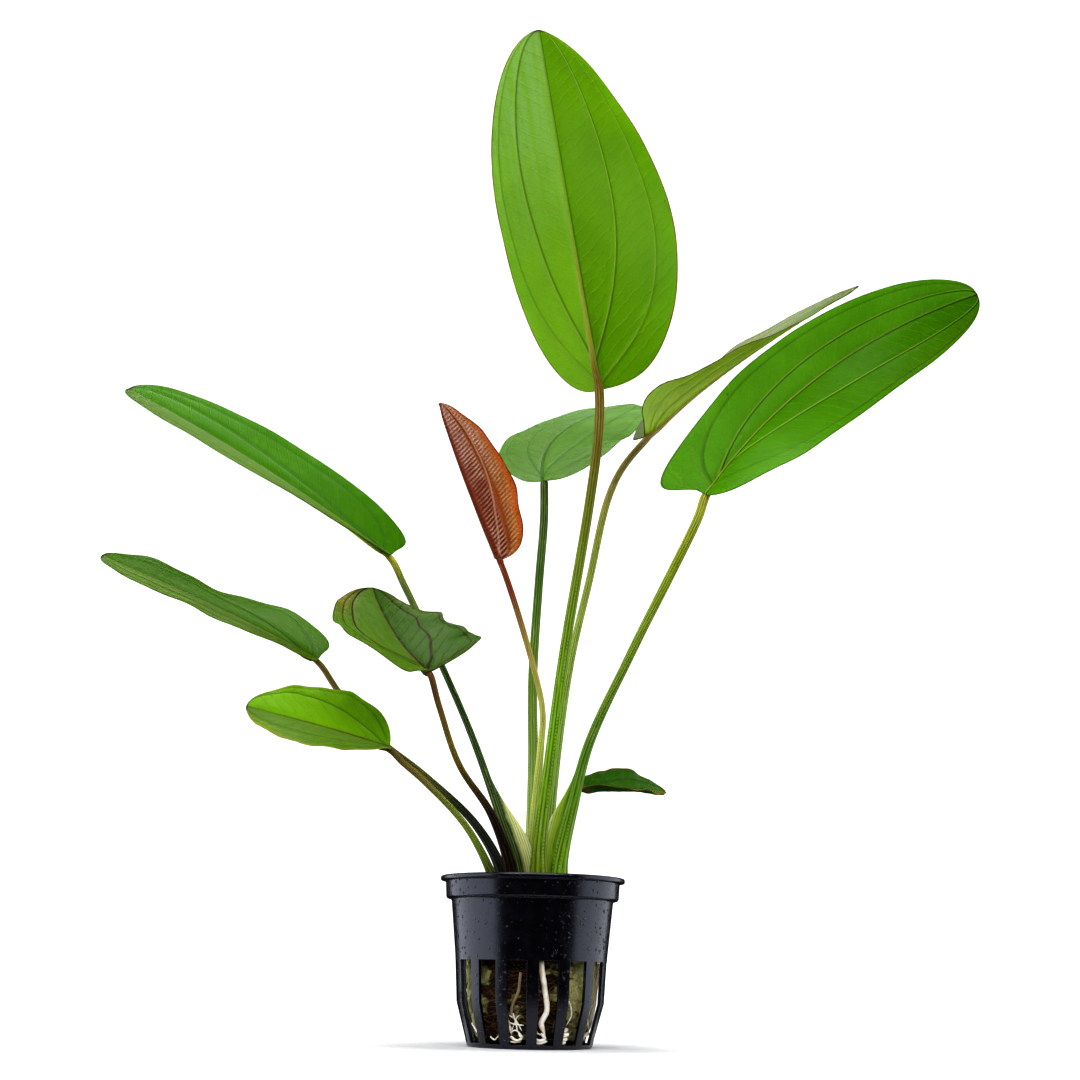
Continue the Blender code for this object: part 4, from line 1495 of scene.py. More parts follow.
@dataclass
class Petiole:
    """A petiole: a ribbed stalk with a clasping foot that runs on under the blade's midrib."""

    leaf: Leaf
    crown: tuple[float, float]
    rows: int = 120
    around: int = 66
    rib_depth: float = 0.035
    taper: float = 3.5
    keel: tuple = (0.06, 0.16, 0.30, 0.46)  # places on the blade's midrib that it runs under
    flare: float = 0.55
    flare_height: float = 7.0
    rooted: float = 2.0
    flat: float = 0.72  # share of the radius that its inner side has

    def course(self) -> tuple[np.ndarray, np.ndarray, np.ndarray]:
        """Lead the stalk from the crown to the blade and on under its midrib.

        Returns:
            Its points, its radius at each in millimetres, and how far each is on under the blade.
        """
        leaf = self.leaf
        blade = Blade(leaf)
        keel = np.array(self.keel)
        middle = np.zeros(len(keel))
        depth = 0.35 + 0.5 * leaf.stem[1] / 2 * (1.0 - keel / keel[-1])
        under = blade.surface(keel, middle) - blade.normals(keel, middle) * depth[:, None]
        foot = np.array(leaf.foot)
        points = [foot - (0.0, 0.0, self.rooted), foot + (0.0, 0.0, 1.0), *leaf.via, np.array(leaf.base)]
        stalk_length = run_along(smooth_route(points, 80))[-1]
        first_normal = blade.normals(keel[:1], middle[:1])[0]
        points[-1] = points[-1] - first_normal * leaf.stem[1] * 0.32
        route = smooth_route([*points, *under], self.rows)
        run = run_along(route)
        wide, thin = leaf.stem
        share = np.clip(1.0 - run / stalk_length, 0.0, 1.0) ** self.taper
        radius = (thin + (wide - thin) * share) / 2
        beyond = np.clip((run - stalk_length) / (run[-1] - stalk_length), 0.0, 1.0)
        return route, radius * (1.0 - 0.84 * beyond**0.45), beyond

    def frames(self, route: np.ndarray) -> tuple[np.ndarray, np.ndarray]:
        """Find which way the stalk's sides face, turning from the crown's middle to the blade's own facing.

        Args:
            route: the stalk's points.

        Returns:
            The sideways and the outward direction at each point.
        """
        leaf = self.leaf
        tangent = unit(np.gradient(route, axis=0))
        inward = unit(np.array((*self.crown, 0.0)) - np.array((leaf.foot[0], leaf.foot[1], 0.0)))
        share = smoothstep(np.linspace(0.0, 1.0, len(route)), 0.1, 0.8)[:, None]
        inner = inward * (1.0 - share) + direction(*leaf.facing) * share
        outward = -unit(inner - tangent * np.sum(inner * tangent, axis=1, keepdims=True))
        return np.cross(outward, tangent), outward

    def section(self, turn: np.ndarray, clasp: np.ndarray, girth: np.ndarray, radius: np.ndarray) -> tuple:
        """Shape the stalk's section: ribbed, flatter inside and wider where it clasps the crown.

        Args:
            turn: angles round the stalk.
            clasp: how much it clasps the crown at each.
            girth: its radius at each, and nought at its ends.
            radius: its radius at each.

        Returns:
            How far each point lies sideways and outwards.
        """
        ribbed = 1.0 + self.rib_depth * np.cos(RIBS * turn)
        x = np.sin(turn) * girth * ribbed * (1.0 + self.flare * clasp)
        y = np.cos(turn) * girth * ribbed * (1.0 + 0.1 * clasp)
        return x, np.where(np.cos(turn) < 0.0, y * self.flat, y) - clasp * 0.35 * x**2 / radius

    def wing(self, turn: np.ndarray, height: np.ndarray, sideways: np.ndarray, outward: np.ndarray) -> tuple:
        """Spread the sheath's wing to its side, where the leaf has one.

        Args:
            turn: angles round the stalk.
            height: heights above the foot.
            sideways: the sideways direction at each.
            outward: the outward direction at each.

        Returns:
            How much of the wing each point has, and how far it moves sideways and outwards.
        """
        sheath = self.leaf.sheath
        if not sheath:
            return (np.zeros(len(turn)),) * 3
        heading = unit(np.array((*sheath.towards, 0.0)))
        aim = np.arctan2(sideways @ heading, outward @ heading)
        off = np.angle(np.exp(1j * (turn - aim)))
        rise = smoothstep(height, -6.0, sheath.peak) * smoothstep(height, sheath.top, sheath.peak)
        share = rise * np.exp(-((off / sheath.edge) ** 2))
        return share, share * sheath.width * np.sin(aim), share * sheath.width * np.cos(aim)

    def build(self) -> bpy.types.Object:
        """Make the petiole and dress it.

        Returns:
            The petiole.
        """
        leaf = self.leaf
        route, radius, beyond = self.course()
        sideways, outward = self.frames(route)
        route[0], route[-1] = route[1], route[-2]
        girth = radius.copy()
        girth[[0, -1]] = 0.0
        bm = bmesh.new()
        place = bm.verts.layers.float_vector.new("place")
        grid = bmesh.ops.create_grid(bm, x_segments=self.rows - 1, y_segments=self.around, size=1.0)["verts"]
        for vert in grid:
            vert[place] = ((vert.co.x + 1.0) / 2 * (self.rows - 1), (vert.co.y + 1.0) * math.pi, 0.0)
        rows, turn, _ = np.array([vert[place] for vert in grid]).T
        row = np.rint(rows).astype(int)
        height = route[row, 2] - leaf.foot[2]
        x, y = self.section(turn, np.exp(-height / self.flare_height), girth[row], radius[row])
        wing, wing_x, wing_y = self.wing(turn, height, sideways[row], outward[row])
        points = route[row] + sideways[row] * (x + wing_x)[:, None] + outward[row] * (y + wing_y)[:, None]
        for vert, co, *spot in zip(grid, points * MM, row, turn, wing):
            vert.co = co
            vert[place] = spot
        bmesh.ops.remove_doubles(bm, verts=bm.verts, dist=MERGE / 8)
        bmesh.ops.recalc_face_normals(bm, faces=bm.faces)
        rows, turn, wing = np.array([vert[place] for vert in bm.verts]).T
        row = np.rint(rows).astype(int)
        run = run_along(route)
        stalk = Piece.from_bmesh(f"petiole_{leaf.number}", bm)
        marks = {
            "petiole_mm": (np.sin(turn) * radius[row], np.cos(turn) * radius[row], run[row]),
            "petiole_share": (run[row] / run[-1], wing, beyond[row]),
        }
        Piece.mark(stalk, marks)
        skin = leaf.petiole.material(stalk.name + "_skin")
        return Piece.finish(stalk, skin, leaf.slots[1], f"stem_{leaf.number}")


@dataclass(frozen=True)
class Root:
    """One root: (angle from the front in degrees, height) pairs from top to bottom, and its diameter."""

    route: tuple
    diameter: float
    depth: float = 1.2  # how far inside the wall it runs
    dim: bool = False  # old and stained


@dataclass
class Roots:
    """The roots between the plug and the slotted wall, and the fine ones that cross them."""

    pot: NetPot
    living: tuple
    fine: tuple
    fresh: RootFinish = RootFinish()
    old: RootFinish = RootFinish(tint(146, 128, 102), tint(120, 100, 74), tint(84, 60, 42))
    stations: int = 60
    wander: float = 0.10  # share of its diameter that a root strays and swells by
    seed: int = 11

    def course(self, root: Root) -> tuple[np.ndarray, np.ndarray]:
        """Lead a root down inside the slotted wall.

        Args:
            root: the root.

        Returns:
            Its points, and its radius at each, in millimetres.
        """
        points = []
        for angle, z in root.route:
            turn = math.radians(angle)
            radius = self.pot.wall_radius(z) - self.pot.wall - root.depth
            points.append((radius * math.sin(turn), -radius * math.cos(turn), z))
        route = smooth_route(points, self.stations)
        share = np.linspace(0.0, 1.0, self.stations)
        radii = np.full(self.stations, root.diameter / 2)
        for row, point in enumerate(route):
            wall = self.pot.wall_radius(point[2]) - self.pot.wall - root.depth
            stray = noise.noise_vector(Vector(point) * 0.35) * self.wander * root.diameter
            point[:2] *= wall / math.hypot(*point[:2])
            point += np.array(stray)
            radii[row] *= 1.0 + self.wander * noise.noise(Vector(point) * 0.9)
        return route, radii * (1.0 - 0.75 * smoothstep(share, 0.86, 1.0))

    def build(self) -> list[bpy.types.Object]:
        """Make the roots and dress them.

        Returns:
            The roots, and the fine ones as one piece.
        """
        noise.seed_set(self.seed)
        fresh = self.fresh.material("root_skin")
        old = self.old.material("old_root_skin")
        made = []
        for number, root in enumerate(self.living, 1):
            route, radii = self.course(root)
            piece = tubes(f"living_root_{number}", [route], [radii], 5)
            made.append(Piece.finish(piece, old if root.dim else fresh, "root", f"root_{number}"))
        courses = [self.course(root) for root in self.fine]
        fine = tubes("fine_roots", [c[0] for c in courses], [c[1] for c in courses], 3)
        made.append(Piece.finish(fine, self.fresh.material("fine_root_skin"), "root"))
        return made


@dataclass(frozen=True)
class Softbox:
    """A flat studio lamp that faces a point, in metres and watts."""

    name: str
    place: Point
    size: tuple[float, float]
    power: float
    aim: Point = (0.0, 0.0, 0.14)
    colour: Colour = (1.0, 1.0, 1.0)

    def build(self) -> bpy.types.Object:
        """Hang the lamp.

        Returns:
            The lamp.
        """
        lamp = bpy.data.lights.new(self.name, "AREA")
        lamp.shape = "RECTANGLE"
        lamp.size, lamp.size_y = self.size
        lamp.energy = self.power
        lamp.color = self.colour
        obj = bpy.data.objects.new(self.name, lamp)
        bpy.context.scene.collection.objects.link(obj)
        obj.location = self.place
        obj.rotation_euler = (Vector(self.aim) - Vector(self.place)).to_track_quat("-Z", "Y").to_euler()
        return obj


@dataclass
class Studio:
    """A pale table, a white surround, soft lamps and the camera."""

    camera_place: Point = (0.0, -0.500, 0.020)
    camera_pitch: float = 14.91
    camera_roll: float = -1.2
    lens: float = 54.63
    surround: float = 0.02  # how strongly the surround lights the plant
    floor_radius: float = 0.085
    floor_fade: tuple[float, float] = (0.030, 0.080)  # radii where the table starts to fade and is gone
    floor_colour: Colour = (0.80, 0.80, 0.80)
    lamps: tuple = (
        Softbox("left_softbox", (-0.92, 0.06, 0.16), (1.7, 1.5), 13.5, colour=(0.90, 0.93, 1.0)),
        Softbox("right_softbox", (0.90, 0.20, 0.16), (1.4, 1.5), 9.5, colour=(0.90, 0.93, 1.0)),
        Softbox("key_softbox", (0.0, -0.90, 0.80), (1.5, 0.5), 11.0),
        Softbox("top_softbox", (0.0, 0.15, 1.10), (0.9, 0.6), 6.0),
    )

    def hang_camera(self) -> None:
        """Set the camera at the photograph's viewing angle."""
        pitch, roll = math.radians(self.camera_pitch), math.radians(self.camera_roll)
        ahead = Vector((0.0, math.cos(pitch), math.sin(pitch)))
        level = Vector((1.0, 0.0, 0.0))
        up = level.cross(ahead)
        right = level * math.cos(roll) - up * math.sin(roll)
        top = level * math.sin(roll) + up * math.cos(roll)
        data = bpy.data.cameras.new("camera")
        data.sensor_width = 36.0
        data.lens = self.lens
        data.clip_start, data.clip_end = 0.01, 20.0
        camera = bpy.data.objects.new("camera", data)
        bpy.context.scene.collection.objects.link(camera)
        turn = Matrix((right, top, -ahead)).transposed()
        camera.matrix_world = Matrix.Translation(self.camera_place) @ turn.to_4x4()
        bpy.context.scene.camera = camera

    def lay_floor(self) -> None:
        """Lay the pale table top."""
        bm = bmesh.new()
        bmesh.ops.create_circle(bm, cap_ends=True, cap_tris=True, segments=96, radius=self.floor_radius)
        floor = Piece.from_bmesh("pale_table", bm)
        g = Graph("pale_table_top")
        x, y, _ = g.place().split()
        g.set(
            base_color=self.floor_colour,
            roughness=0.6,
            specular_ior_level=0.2,
            alpha=(x * x + y * y).math("SQRT").remap(*self.floor_fade, 1.0, 0.0),
        )
        floor.data.materials.append(g.material)

    def light(self) -> None:
        """Make the surround white to the eye and dim as a light, and hang the lamps."""
        world = bpy.data.worlds.new("surround")
        bpy.context.scene.world = world
        world.use_nodes = True
        tree = world.node_tree
        shade = tree.nodes["Background"]
        shade.inputs["Color"].default_value = (1.0, 1.0, 1.0, 1.0)
        eye = tree.nodes.new("ShaderNodeLightPath")
        remap = tree.nodes.new("ShaderNodeMapRange")
        remap.inputs["To Min"].default_value = self.surround
        remap.inputs["To Max"].default_value = 1.0
        tree.links.new(eye.outputs["Is Camera Ray"], remap.inputs["Value"])
        tree.links.new(remap.outputs["Result"], shade.inputs["Strength"])
        for lamp in self.lamps:
            lamp.build()
        bpy.context.scene.view_settings.view_transform = "Standard"
        bpy.context.scene.view_settings.look = "High Contrast"

    def build(self) -> None:
        """Set up the whole studio."""
        self.hang_camera()
        self.lay_floor()
        self.light()


LEAVES = (
    Leaf(
        number=1, slots=("leaf_bright", "petiole_green"), facing=(86.8, 22.4), width=57.3, stem=(4.8, 2.9),
        foot=(2.0, -5.6, 45.3), base=(17.6, -22.0, 195.6), tip=(-4.0, -40.0, 309.6),
        via=(
            (1.7, -7.5, 56.5), (4.3, -11.0, 82.4), (7.9, -14.5, 113.6), (14.8, -19.5, 159.3),
            (17.3, -21.4, 182.0),
        ),
        fold=(9.0, 15.5), curl=0.09, bow=-1.0, sweep=0.3, twist=-42.3, lobes=(0.007, 0),
        halves=(1.11, 0.81), fullness=(2.3, 1.93), peak=0.48,
        waves=(Wave(0.45, -1, 0.5), Wave(0.45, 1, -0.4)),
        inner=(Vein(0.49, 0.18, 0.076), Vein(0.65, 0.24, 0.071)),
        outer=(Vein(0.8, 0.09, 0.009), Vein(0.9, 0.13, 0.01)),
        blade=BladeFinish(
            left=tint(92, 156, 10), right=tint(80, 140, 16), under_left=tint(113, 160, 0),
            under_right=tint(133, 176, 31), midrib=tint(150, 172, 66), vein=tint(146, 172, 62),
            dark_tone_and_shade=tint(52, 104, 0), margin=tint(120, 84, 40), patch=tint(106, 170, 20),
            pale_tint=tint(150, 184, 124), sheens=(0.0, 0.55),
            shadow_lean=-0.3, outer_vein=0.5, tip_from=0.99,
        ),
        petiole=PetioleFinish(
            foot=tint(118, 130, 13), low=tint(134, 184, 23), high=tint(124, 111, 20), top=tint(145, 76, 6),
            keel=tint(152, 152, 46),
        ),
    ),
    Leaf(
        number=2, slots=("leaf_green", "petiole_green"), facing=(-79.6, 9.1), width=40.3, stem=(5.4, 2.8),
        foot=(7.9, -1.4, 45.3), base=(51.4, -8.0, 167.0), tip=(140.5, -6.0, 237.6),
        via=(
            (7.9, -2.0, 53.0), (11.2, -2.5, 69.5), (15.9, -3.5, 88.5), (27.5, -5.5, 114.2),
            (49.0, -8.0, 158.8),
        ),
        fold=(26.4, -4.9), curl=0.04, bow=-1.7, sweep=-9.3, twist=-54.7, lobes=(0.117, 0),
        halves=(0.84, 0.99), fullness=(2.24, 2.28), peak=0.29,
        waves=(
            Wave(0.08, -1, 0.4), Wave(0.85, -1, 0.5), Wave(0.08, 1, -1.1), Wave(0.25, 1, 0.6),
            Wave(0.65, 1, -0.6),
        ),
        inner=(Vein(0.46, 0.17, 0.05), Vein(0.58, 0.3, 0.108)),
        outer=(Vein(0.86, 0.06, 0.03), Vein(0.88, 0.12, 0.03)),
        sheath=Sheath((-1.0, 0.0), 4.6, 36.0, 14.0),
        blade=BladeFinish(
            left=tint(108, 166, 30), right=tint(88, 144, 3), under_left=tint(84, 146, 40),
            midrib=tint(150, 170, 62), vein=tint(136, 170, 54), dark_tone_and_shade=tint(32, 84, 8),
            margin=tint(70, 104, 20), tip=tint(78, 42, 24), patch=tint(84, 156, 20),
            rim=tint(150, 120, 30), rims=(0.0, 0.12),
            style=VeinStyle.BOLD, shadow_lean=0.22, midrib_width=0.3, vein_width=0.24, margin_width=0.14,
            tip_from=0.99,
        ),
        petiole=PetioleFinish(
            foot=tint(132, 169, 23), low=tint(99, 142, 32), high=tint(150, 159, 21), top=tint(204, 192, 62),
            wing=tint(160, 186, 60), rim=tint(222, 226, 160),
        ),
    ),
    Leaf(
        number=3, slots=("leaf_green", "petiole_green"), facing=(-133.9, 79.5), width=37.1, stem=(3.8, 2.6),
        foot=(3.0, 1.4, 45.3), base=(34.2, 18.0, 194.1), tip=(115.7, 60.0, 268.7),
        via=(
            (4.0, 1.2, 57.1), (6.2, 2.2, 84.1), (10.3, 5.5, 115.9), (15.9, 9.5, 142.8), (22.0, 14.5, 172.0),
            (27.0, 16.5, 183.4),
        ),
        fold=(33.0, 18.1), curl=-0.14, bow=1.2, sweep=-11.7, twist=-46.0, lobes=(0.02, 0.03),
        halves=(0.79, 1.0), fullness=(3.29, 1.37), peak=0.25,
        waves=(
            Wave(0.03, -1, -3.0, spread=0.05), Wave(0.25, -1, 0.4), Wave(0.45, -1, -2.1),
            Wave(0.08, 1, 1.6), Wave(0.25, 1, -3.3), Wave(0.45, 1, -0.9), Wave(0.65, 1, -0.4),
            Wave(0.85, 1, -1.7),
        ),
        blade=BladeFinish(
            # the pale grey-green upper side of the left half is painted glancing sheen over its green
            left=tint(127, 134, 98), right=tint(106, 140, 76), under_left=tint(176, 196, 70),
            under_right=tint(161, 185, 31), midrib=tint(160, 146, 70), vein=tint(104, 120, 36),
            dark_tone_and_shade=tint(74, 104, 26), margin=tint(74, 40, 26), tip=tint(64, 34, 40),
            style=VeinStyle.FAINT, margin_width=0.3,
        ),
        petiole=PetioleFinish(
            foot=tint(160, 178, 110), low=tint(149, 179, 84), high=tint(147, 149, 51),
            top=tint(168, 102, 98), keel=tint(150, 124, 72), turns=(0.22, 0.55),
        ),
    ),
    Leaf(
        number=4, slots=("leaf_green", "petiole_green"), facing=(-109.0, 60.2), width=49.1, stem=(4.0, 2.8),
        foot=(-1.4, 6.4, 45.3), base=(0.6, 42.0, 185.4), tip=(34.3, 95.0, 233.2),
        via=(
            (-0.8, 8.4, 57.6), (-0.7, 13.0, 83.8), (-1.4, 21.0, 111.8), (0.0, 31.0, 147.6),
            (1.2, 37.5, 170.3),
        ),
        fold=(2.1, -1.0), curl=-0.06, bow=3.6, sweep=-10.9, twist=-10.9, lobes=(0.01, 0.032),
        halves=(0.91, 1.18), fullness=(1.81, 1.73), peak=0.43,
        waves=(Wave(0.85, -1, 1.0), Wave(0.08, 1, 1.5), Wave(0.25, 1, -0.5), Wave(0.85, 1, -0.4)),
        blade=BladeFinish(
            left=tint(106, 138, 66), right=tint(105, 142, 60), under_left=tint(90, 142, 50),
            # the dark, wide midrib is partly its own dark green and partly painted shade along its crease
            midrib=tint(44, 92, 24), vein=tint(74, 126, 44), dark_tone_and_shade=tint(36, 88, 18),
            margin=tint(90, 130, 70), patch=tint(116, 168, 66),
            pale_tint=tint(150, 180, 140), sheens=(0.35, 0.25), sheen_span=(0.45, 1.0),
            style=VeinStyle.FAINT, midrib_width=0.5,
        ),
        petiole=PetioleFinish(
            foot=tint(172, 195, 108), low=tint(97, 125, 1), high=tint(55, 94, 1), top=tint(68, 50, 3),
            turns=(0.36, 0.62), lined=0.4,
        ),
    ),
    Leaf(
        number=5, slots=("leaf_young", "petiole_young"), facing=(42.8, 16.8), width=30.5, stem=(3.2, 2.0),
        foot=(-1.6, 1.8, 45.3), base=(-12.0, -4.0, 145.3), tip=(-32.8, -10.0, 194.5),
        via=((-0.8, 1.5, 57.0), (0.4, 1.1, 71.7), (1.7, 0.0, 89.0), (2.0, -2.0, 98.5), (-1.7, -4.0, 113.9)),
        fold=(54.6, 61.2), curl=-0.03, bow=-0.7, sweep=0.5, twist=7.2, lobes=(0.004, 0.029),
        halves=(0.94, 1.01), fullness=(2.27, 1.56), peak=0.47, crease=0.45,
        waves=(Wave(0.08, -1, 0.5), Wave(0.25, -1, -0.4), Wave(0.65, 1, -0.9)),
        inner=(Vein(0.6, 0.3, 0.0),) * 2,
        outer=(Vein(0.8, 0.13, 0.0),) * 2,
        blade=BladeFinish(
            left=tint(140, 78, 26), right=tint(126, 66, 24), under_left=tint(134, 62, 20),
            under_right=tint(150, 76, 22), midrib=tint(96, 40, 22), vein=tint(212, 176, 152),
            dark_tone_and_shade=tint(112, 48, 20), margin=tint(86, 34, 16), tip=tint(70, 28, 16),
            patch=tint(170, 104, 60),
            pale_tint=tint(206, 166, 160), sheens=(0.55, 0.25), sheen_span=(0.5, 0.95),
            bands=(
                (0.04, tint(140, 70, 46)), (0.14, tint(124, 50, 26)), (0.36, tint(132, 54, 28)),
                (0.44, tint(176, 104, 70)), (0.52, tint(160, 88, 30)), (0.66, tint(182, 116, 40)),
                (0.82, tint(206, 126, 34)), (0.98, tint(200, 90, 44)),
            ),
            ribbed=(
                (0.04, 0.1), (0.12, 1.0), (0.38, 1.0), (0.46, 0.0), (0.54, 0.0), (0.6, 0.9), (0.78, 0.9),
                (0.86, 0.1),
            ),
            style=VeinStyle.FAINT, vein_width=0.3, outer_vein=0.0, outer_width=0.7, cross=1.0,
            cross_spacing=1.25, cross_slope=0.5, cross_width=0.45, cross_lift=0.16,
        ),
        petiole=PetioleFinish(
            foot=tint(160, 184, 104), low=tint(222, 232, 126), high=tint(125, 53, 13),
            top=tint(147, 41, 29), line=tint(96, 44, 26), pale=tint(214, 190, 140), keel=tint(112, 48, 30),
            turns=(0.36, 0.72), lined=0.4, ticks=0.3,
        ),
    ),
    Leaf(
        number=6, slots=("leaf_green", "petiole_green"), facing=(-77.1, 52.7), width=34.7, stem=(2.9, 2.3),
        foot=(-4.6, -1.9, 45.3), base=(-48.3, 16.0, 151.3), tip=(-140.9, 26.0, 210.2),
        via=(
            (-5.2, -2.0, 52.5), (-10.6, -1.4, 67.5), (-18.5, 2.5, 88.6), (-29.2, 9.0, 112.5),
            (-43.4, 14.5, 141.0),
        ),
        fold=(21.3, 12.6), curl=0.04, bow=5.0, sweep=-4.6, twist=11.2, lobes=(0.026, 0.033),
        halves=(1.03, 0.9), fullness=(2.51, 2.19), peak=0.34, quilt=0.03, flutter=0.12,
        waves=(Wave(0.08, -1, -0.8), Wave(0.45, -1, 1.4), Wave(0.65, -1, -0.7), Wave(0.85, -1, -1.3)),
        inner=(Vein(0.72, 0.05, 0.02), Vein(0.9, 0.95, 0.03)),
        outer=(Vein(0.9, 0.05, 0.0), Vein(0.8, 0.06, 0.02)),
        sheath=Sheath((1.0, 0.0), 4.6, 34.0, 10.0),
        blade=BladeFinish(
            left=tint(93, 110, 23), right=tint(78, 131, 0), under_left=tint(96, 146, 52),
            midrib=tint(112, 156, 52), vein=tint(76, 122, 46), dark_tone_and_shade=tint(44, 96, 16),
            margin=tint(64, 104, 24), patch=tint(108, 164, 50),
            pale_tint=tint(130, 168, 116), sheens=(0.3, 0.06), sheen_span=(0.1, 0.5),
            midrib_width=0.22, margin_width=0.14, cloud_lift=0.03,
        ),
        petiole=PetioleFinish(
            foot=tint(70, 84, 36), low=tint(43, 73, 1), high=tint(86, 102, 5), top=tint(255, 240, 25),
            # the keel is painted far paler than its own yellow-green: painted light where it lies in the
            # blade's shade
            line=tint(14, 22, 6), keel=tint(250, 246, 120), wing=tint(204, 208, 142), turns=(0.3, 0.62),
        ),
    ),
    Leaf(
        number=7, slots=("leaf_dark", "petiole_dark"), facing=(-82.1, 63.2), width=30.7, stem=(4.4, 2.0),
        foot=(-8.9, 2.0, 45.3), base=(-69.0, 8.0, 115.0), tip=(-137.5, 0.0, 145.2),
        via=(
            (-10.2, 2.2, 52.5), (-17.9, 3.0, 64.6), (-33.9, 6.0, 79.2), (-50.0, 8.0, 91.5),
            (-62.0, 8.0, 105.0),
        ),
        fold=(18.9, 5.5), curl=-0.12, bow=-0.1, sweep=3.6, twist=0.9, lobes=(0.029, 0.037),
        halves=(0.91, 1.1), fullness=(2.57, 2.42), peak=0.35, quilt=0.02, flutter=0.25,
        waves=(
            Wave(0.86, 1, 1.5, 1.2, spread=0.1), Wave(0.55, 1, -1.6, -1.2, spread=0.13),
            Wave(0.22, 1, 1.2, 1.4, spread=0.12), Wave(0.25, -1, -0.7), Wave(0.45, -1, 1.2),
            Wave(0.65, -1, -0.9), Wave(0.08, 1, 1.5), Wave(0.45, 1, -1.0), Wave(0.65, 1, 0.9),
            Wave(0.85, 1, -1.8),
        ),
        inner=(Vein(0.56, 0.03, 0.0), Vein(1.0, 0.76, 0.05)),
        outer=(Vein(0.84, 0.03, 0.0), Vein(0.88, 0.08, 0.02)),
        blade=BladeFinish(
            left=tint(97, 119, 14), right=tint(78, 119, 11), under_left=tint(76, 124, 40),
            midrib=tint(110, 120, 52), vein=tint(58, 92, 30), dark_tone_and_shade=tint(34, 76, 12),
            margin=tint(56, 90, 22), patch=tint(96, 140, 40),
            pale_tint=tint(130, 160, 100), sheens=(0.55, 0.15), sheen_span=(0.1, 0.5),
            patches=0.12, margin_width=0.14, cross=0.06, cross_lift=0.02, cloud_lift=0.02,
        ),
        petiole=PetioleFinish(
            foot=tint(3, 3, 0), low=tint(24, 34, 8), high=tint(165, 156, 73), top=tint(104, 44, 28),
            line=tint(12, 16, 4), pale=tint(90, 96, 60), keel=tint(92, 52, 26), turns=(0.22, 0.52),
        ),
    ),
    Leaf(
        number=8, slots=("leaf_bright", "petiole_dark"), facing=(-78.2, 47.8), width=31.9, stem=(3.4, 2.1),
        foot=(-11.4, -2.0, 45.3), base=(-43.2, -14.0, 84.9), tip=(-84.5, -26.0, 94.3),
        via=((-13.0, -2.5, 51.0), (-20.2, -6.5, 63.0), (-32.8, -11.5, 75.4), (-39.2, -13.0, 80.6)),
        fold=(19.1, -0.9), curl=0.03, bow=0.4, sweep=0.2, twist=18.2, lobes=(0.007, 0.0),
        halves=(0.96, 1.06), fullness=(2.37, 1.75), peak=0.37,
        waves=(Wave(0.45, -1, 0.7), Wave(0.65, -1, -0.4), Wave(0.85, -1, 0.4)),
        inner=(Vein(0.51, 0.04, 0.02), Vein(1.0, 0.48, 0.0)),
        outer=(Vein(0.8, 0.05, 0.0), Vein(0.93, 0.08, 0.0)),
        blade=BladeFinish(
            left=tint(104, 134, 46), right=tint(126, 172, 17), under_left=tint(100, 150, 50),
            midrib=tint(110, 74, 40), vein=tint(96, 124, 36), dark_tone_and_shade=tint(60, 118, 8),
            margin=tint(150, 140, 60), patch=tint(96, 120, 24),
            rim=tint(150, 160, 40), rims=(0.45, 0.0),
            fade=0.7,
        ),
        petiole=PetioleFinish(
            foot=tint(16, 11, 22), low=tint(153, 177, 76), high=tint(141, 126, 68), top=tint(77, 64, 24),
            line=tint(26, 22, 8), pale=tint(140, 136, 70), turns=(0.25, 0.6),
        ),
    ),
    Leaf(
        number=9, slots=("leaf_dark", "petiole_dark"), facing=(-66.7, 58.4), width=42.1, stem=(4.2, 2.0),
        foot=(-6.8, -5.8, 45.3), base=(-31.5, -24.0, 105.9), tip=(-51.6, -4.0, 135.6),
        via=((-7.0, -6.8, 51.5), (-12.8, -11.5, 66.4), (-22.2, -17.0, 79.6), (-28.6, -22.0, 96.5)),
        fold=(26.0, -3.4), curl=0.07, bow=-2.9, sweep=-0.2, twist=-11.8, lobes=(0.173, 0.008),
        halves=(1.25, 0.95), fullness=(2.56, 1.75), peak=0.33,
        waves=(
            Wave(0.08, -1, -1.8, spread=0.08), Wave(0.25, -1, 0.8, spread=0.1), Wave(0.45, -1, 0.4),
            Wave(0.65, -1, -0.5), Wave(0.05, 1, 0.5, spread=0.05), Wave(0.13, 1, 2.2, spread=0.04),
            Wave(0.26, 1, -0.9, spread=0.07), Wave(0.42, 1, 0.6, spread=0.08),
            Wave(0.56, 1, -0.8, spread=0.05), Wave(0.68, 1, 1.9, 0.8, spread=0.06),
            Wave(0.86, 1, -1.1, spread=0.09),
        ),
        inner=(Vein(0.66, 0.1, 0.1), Vein(0.6, 0.28, 0.03)),
        outer=(Vein(0.84, 0.12, 0.04), Vein(0.93, 0.06, 0.0)),
        blade=BladeFinish(
            left=tint(85, 117, 8), right=tint(58, 94, 1), under_left=tint(84, 126, 46),
            midrib=tint(76, 36, 26), vein=tint(62, 34, 24), dark_tone_and_shade=tint(52, 84, 18), margin=tint(60, 80, 28),
            patch=tint(106, 146, 50),
            rim=tint(176, 118, 58), rims=(0.45, 0.12), pale_tint=tint(118, 146, 96), sheens=(0.25, 0.1),
            sheen_span=(0.0, 0.6),
            style=VeinStyle.BOLD, midrib_width=0.42, vein_width=0.3, outer_vein=0.8, outer_width=0.16,
            cross=0.12,
        ),
        petiole=PetioleFinish(
            foot=tint(17, 8, 2), low=tint(35, 11, 7), high=tint(141, 123, 43), top=tint(94, 20, 27),
            line=tint(16, 8, 8), pale=tint(110, 96, 72), turns=(0.28, 0.54),
        ),
    ),
    Leaf(
        number=10, slots=("leaf_dark", "petiole_green"), facing=(-80.4, 52.5), width=17.3, stem=(2.4, 1.6),
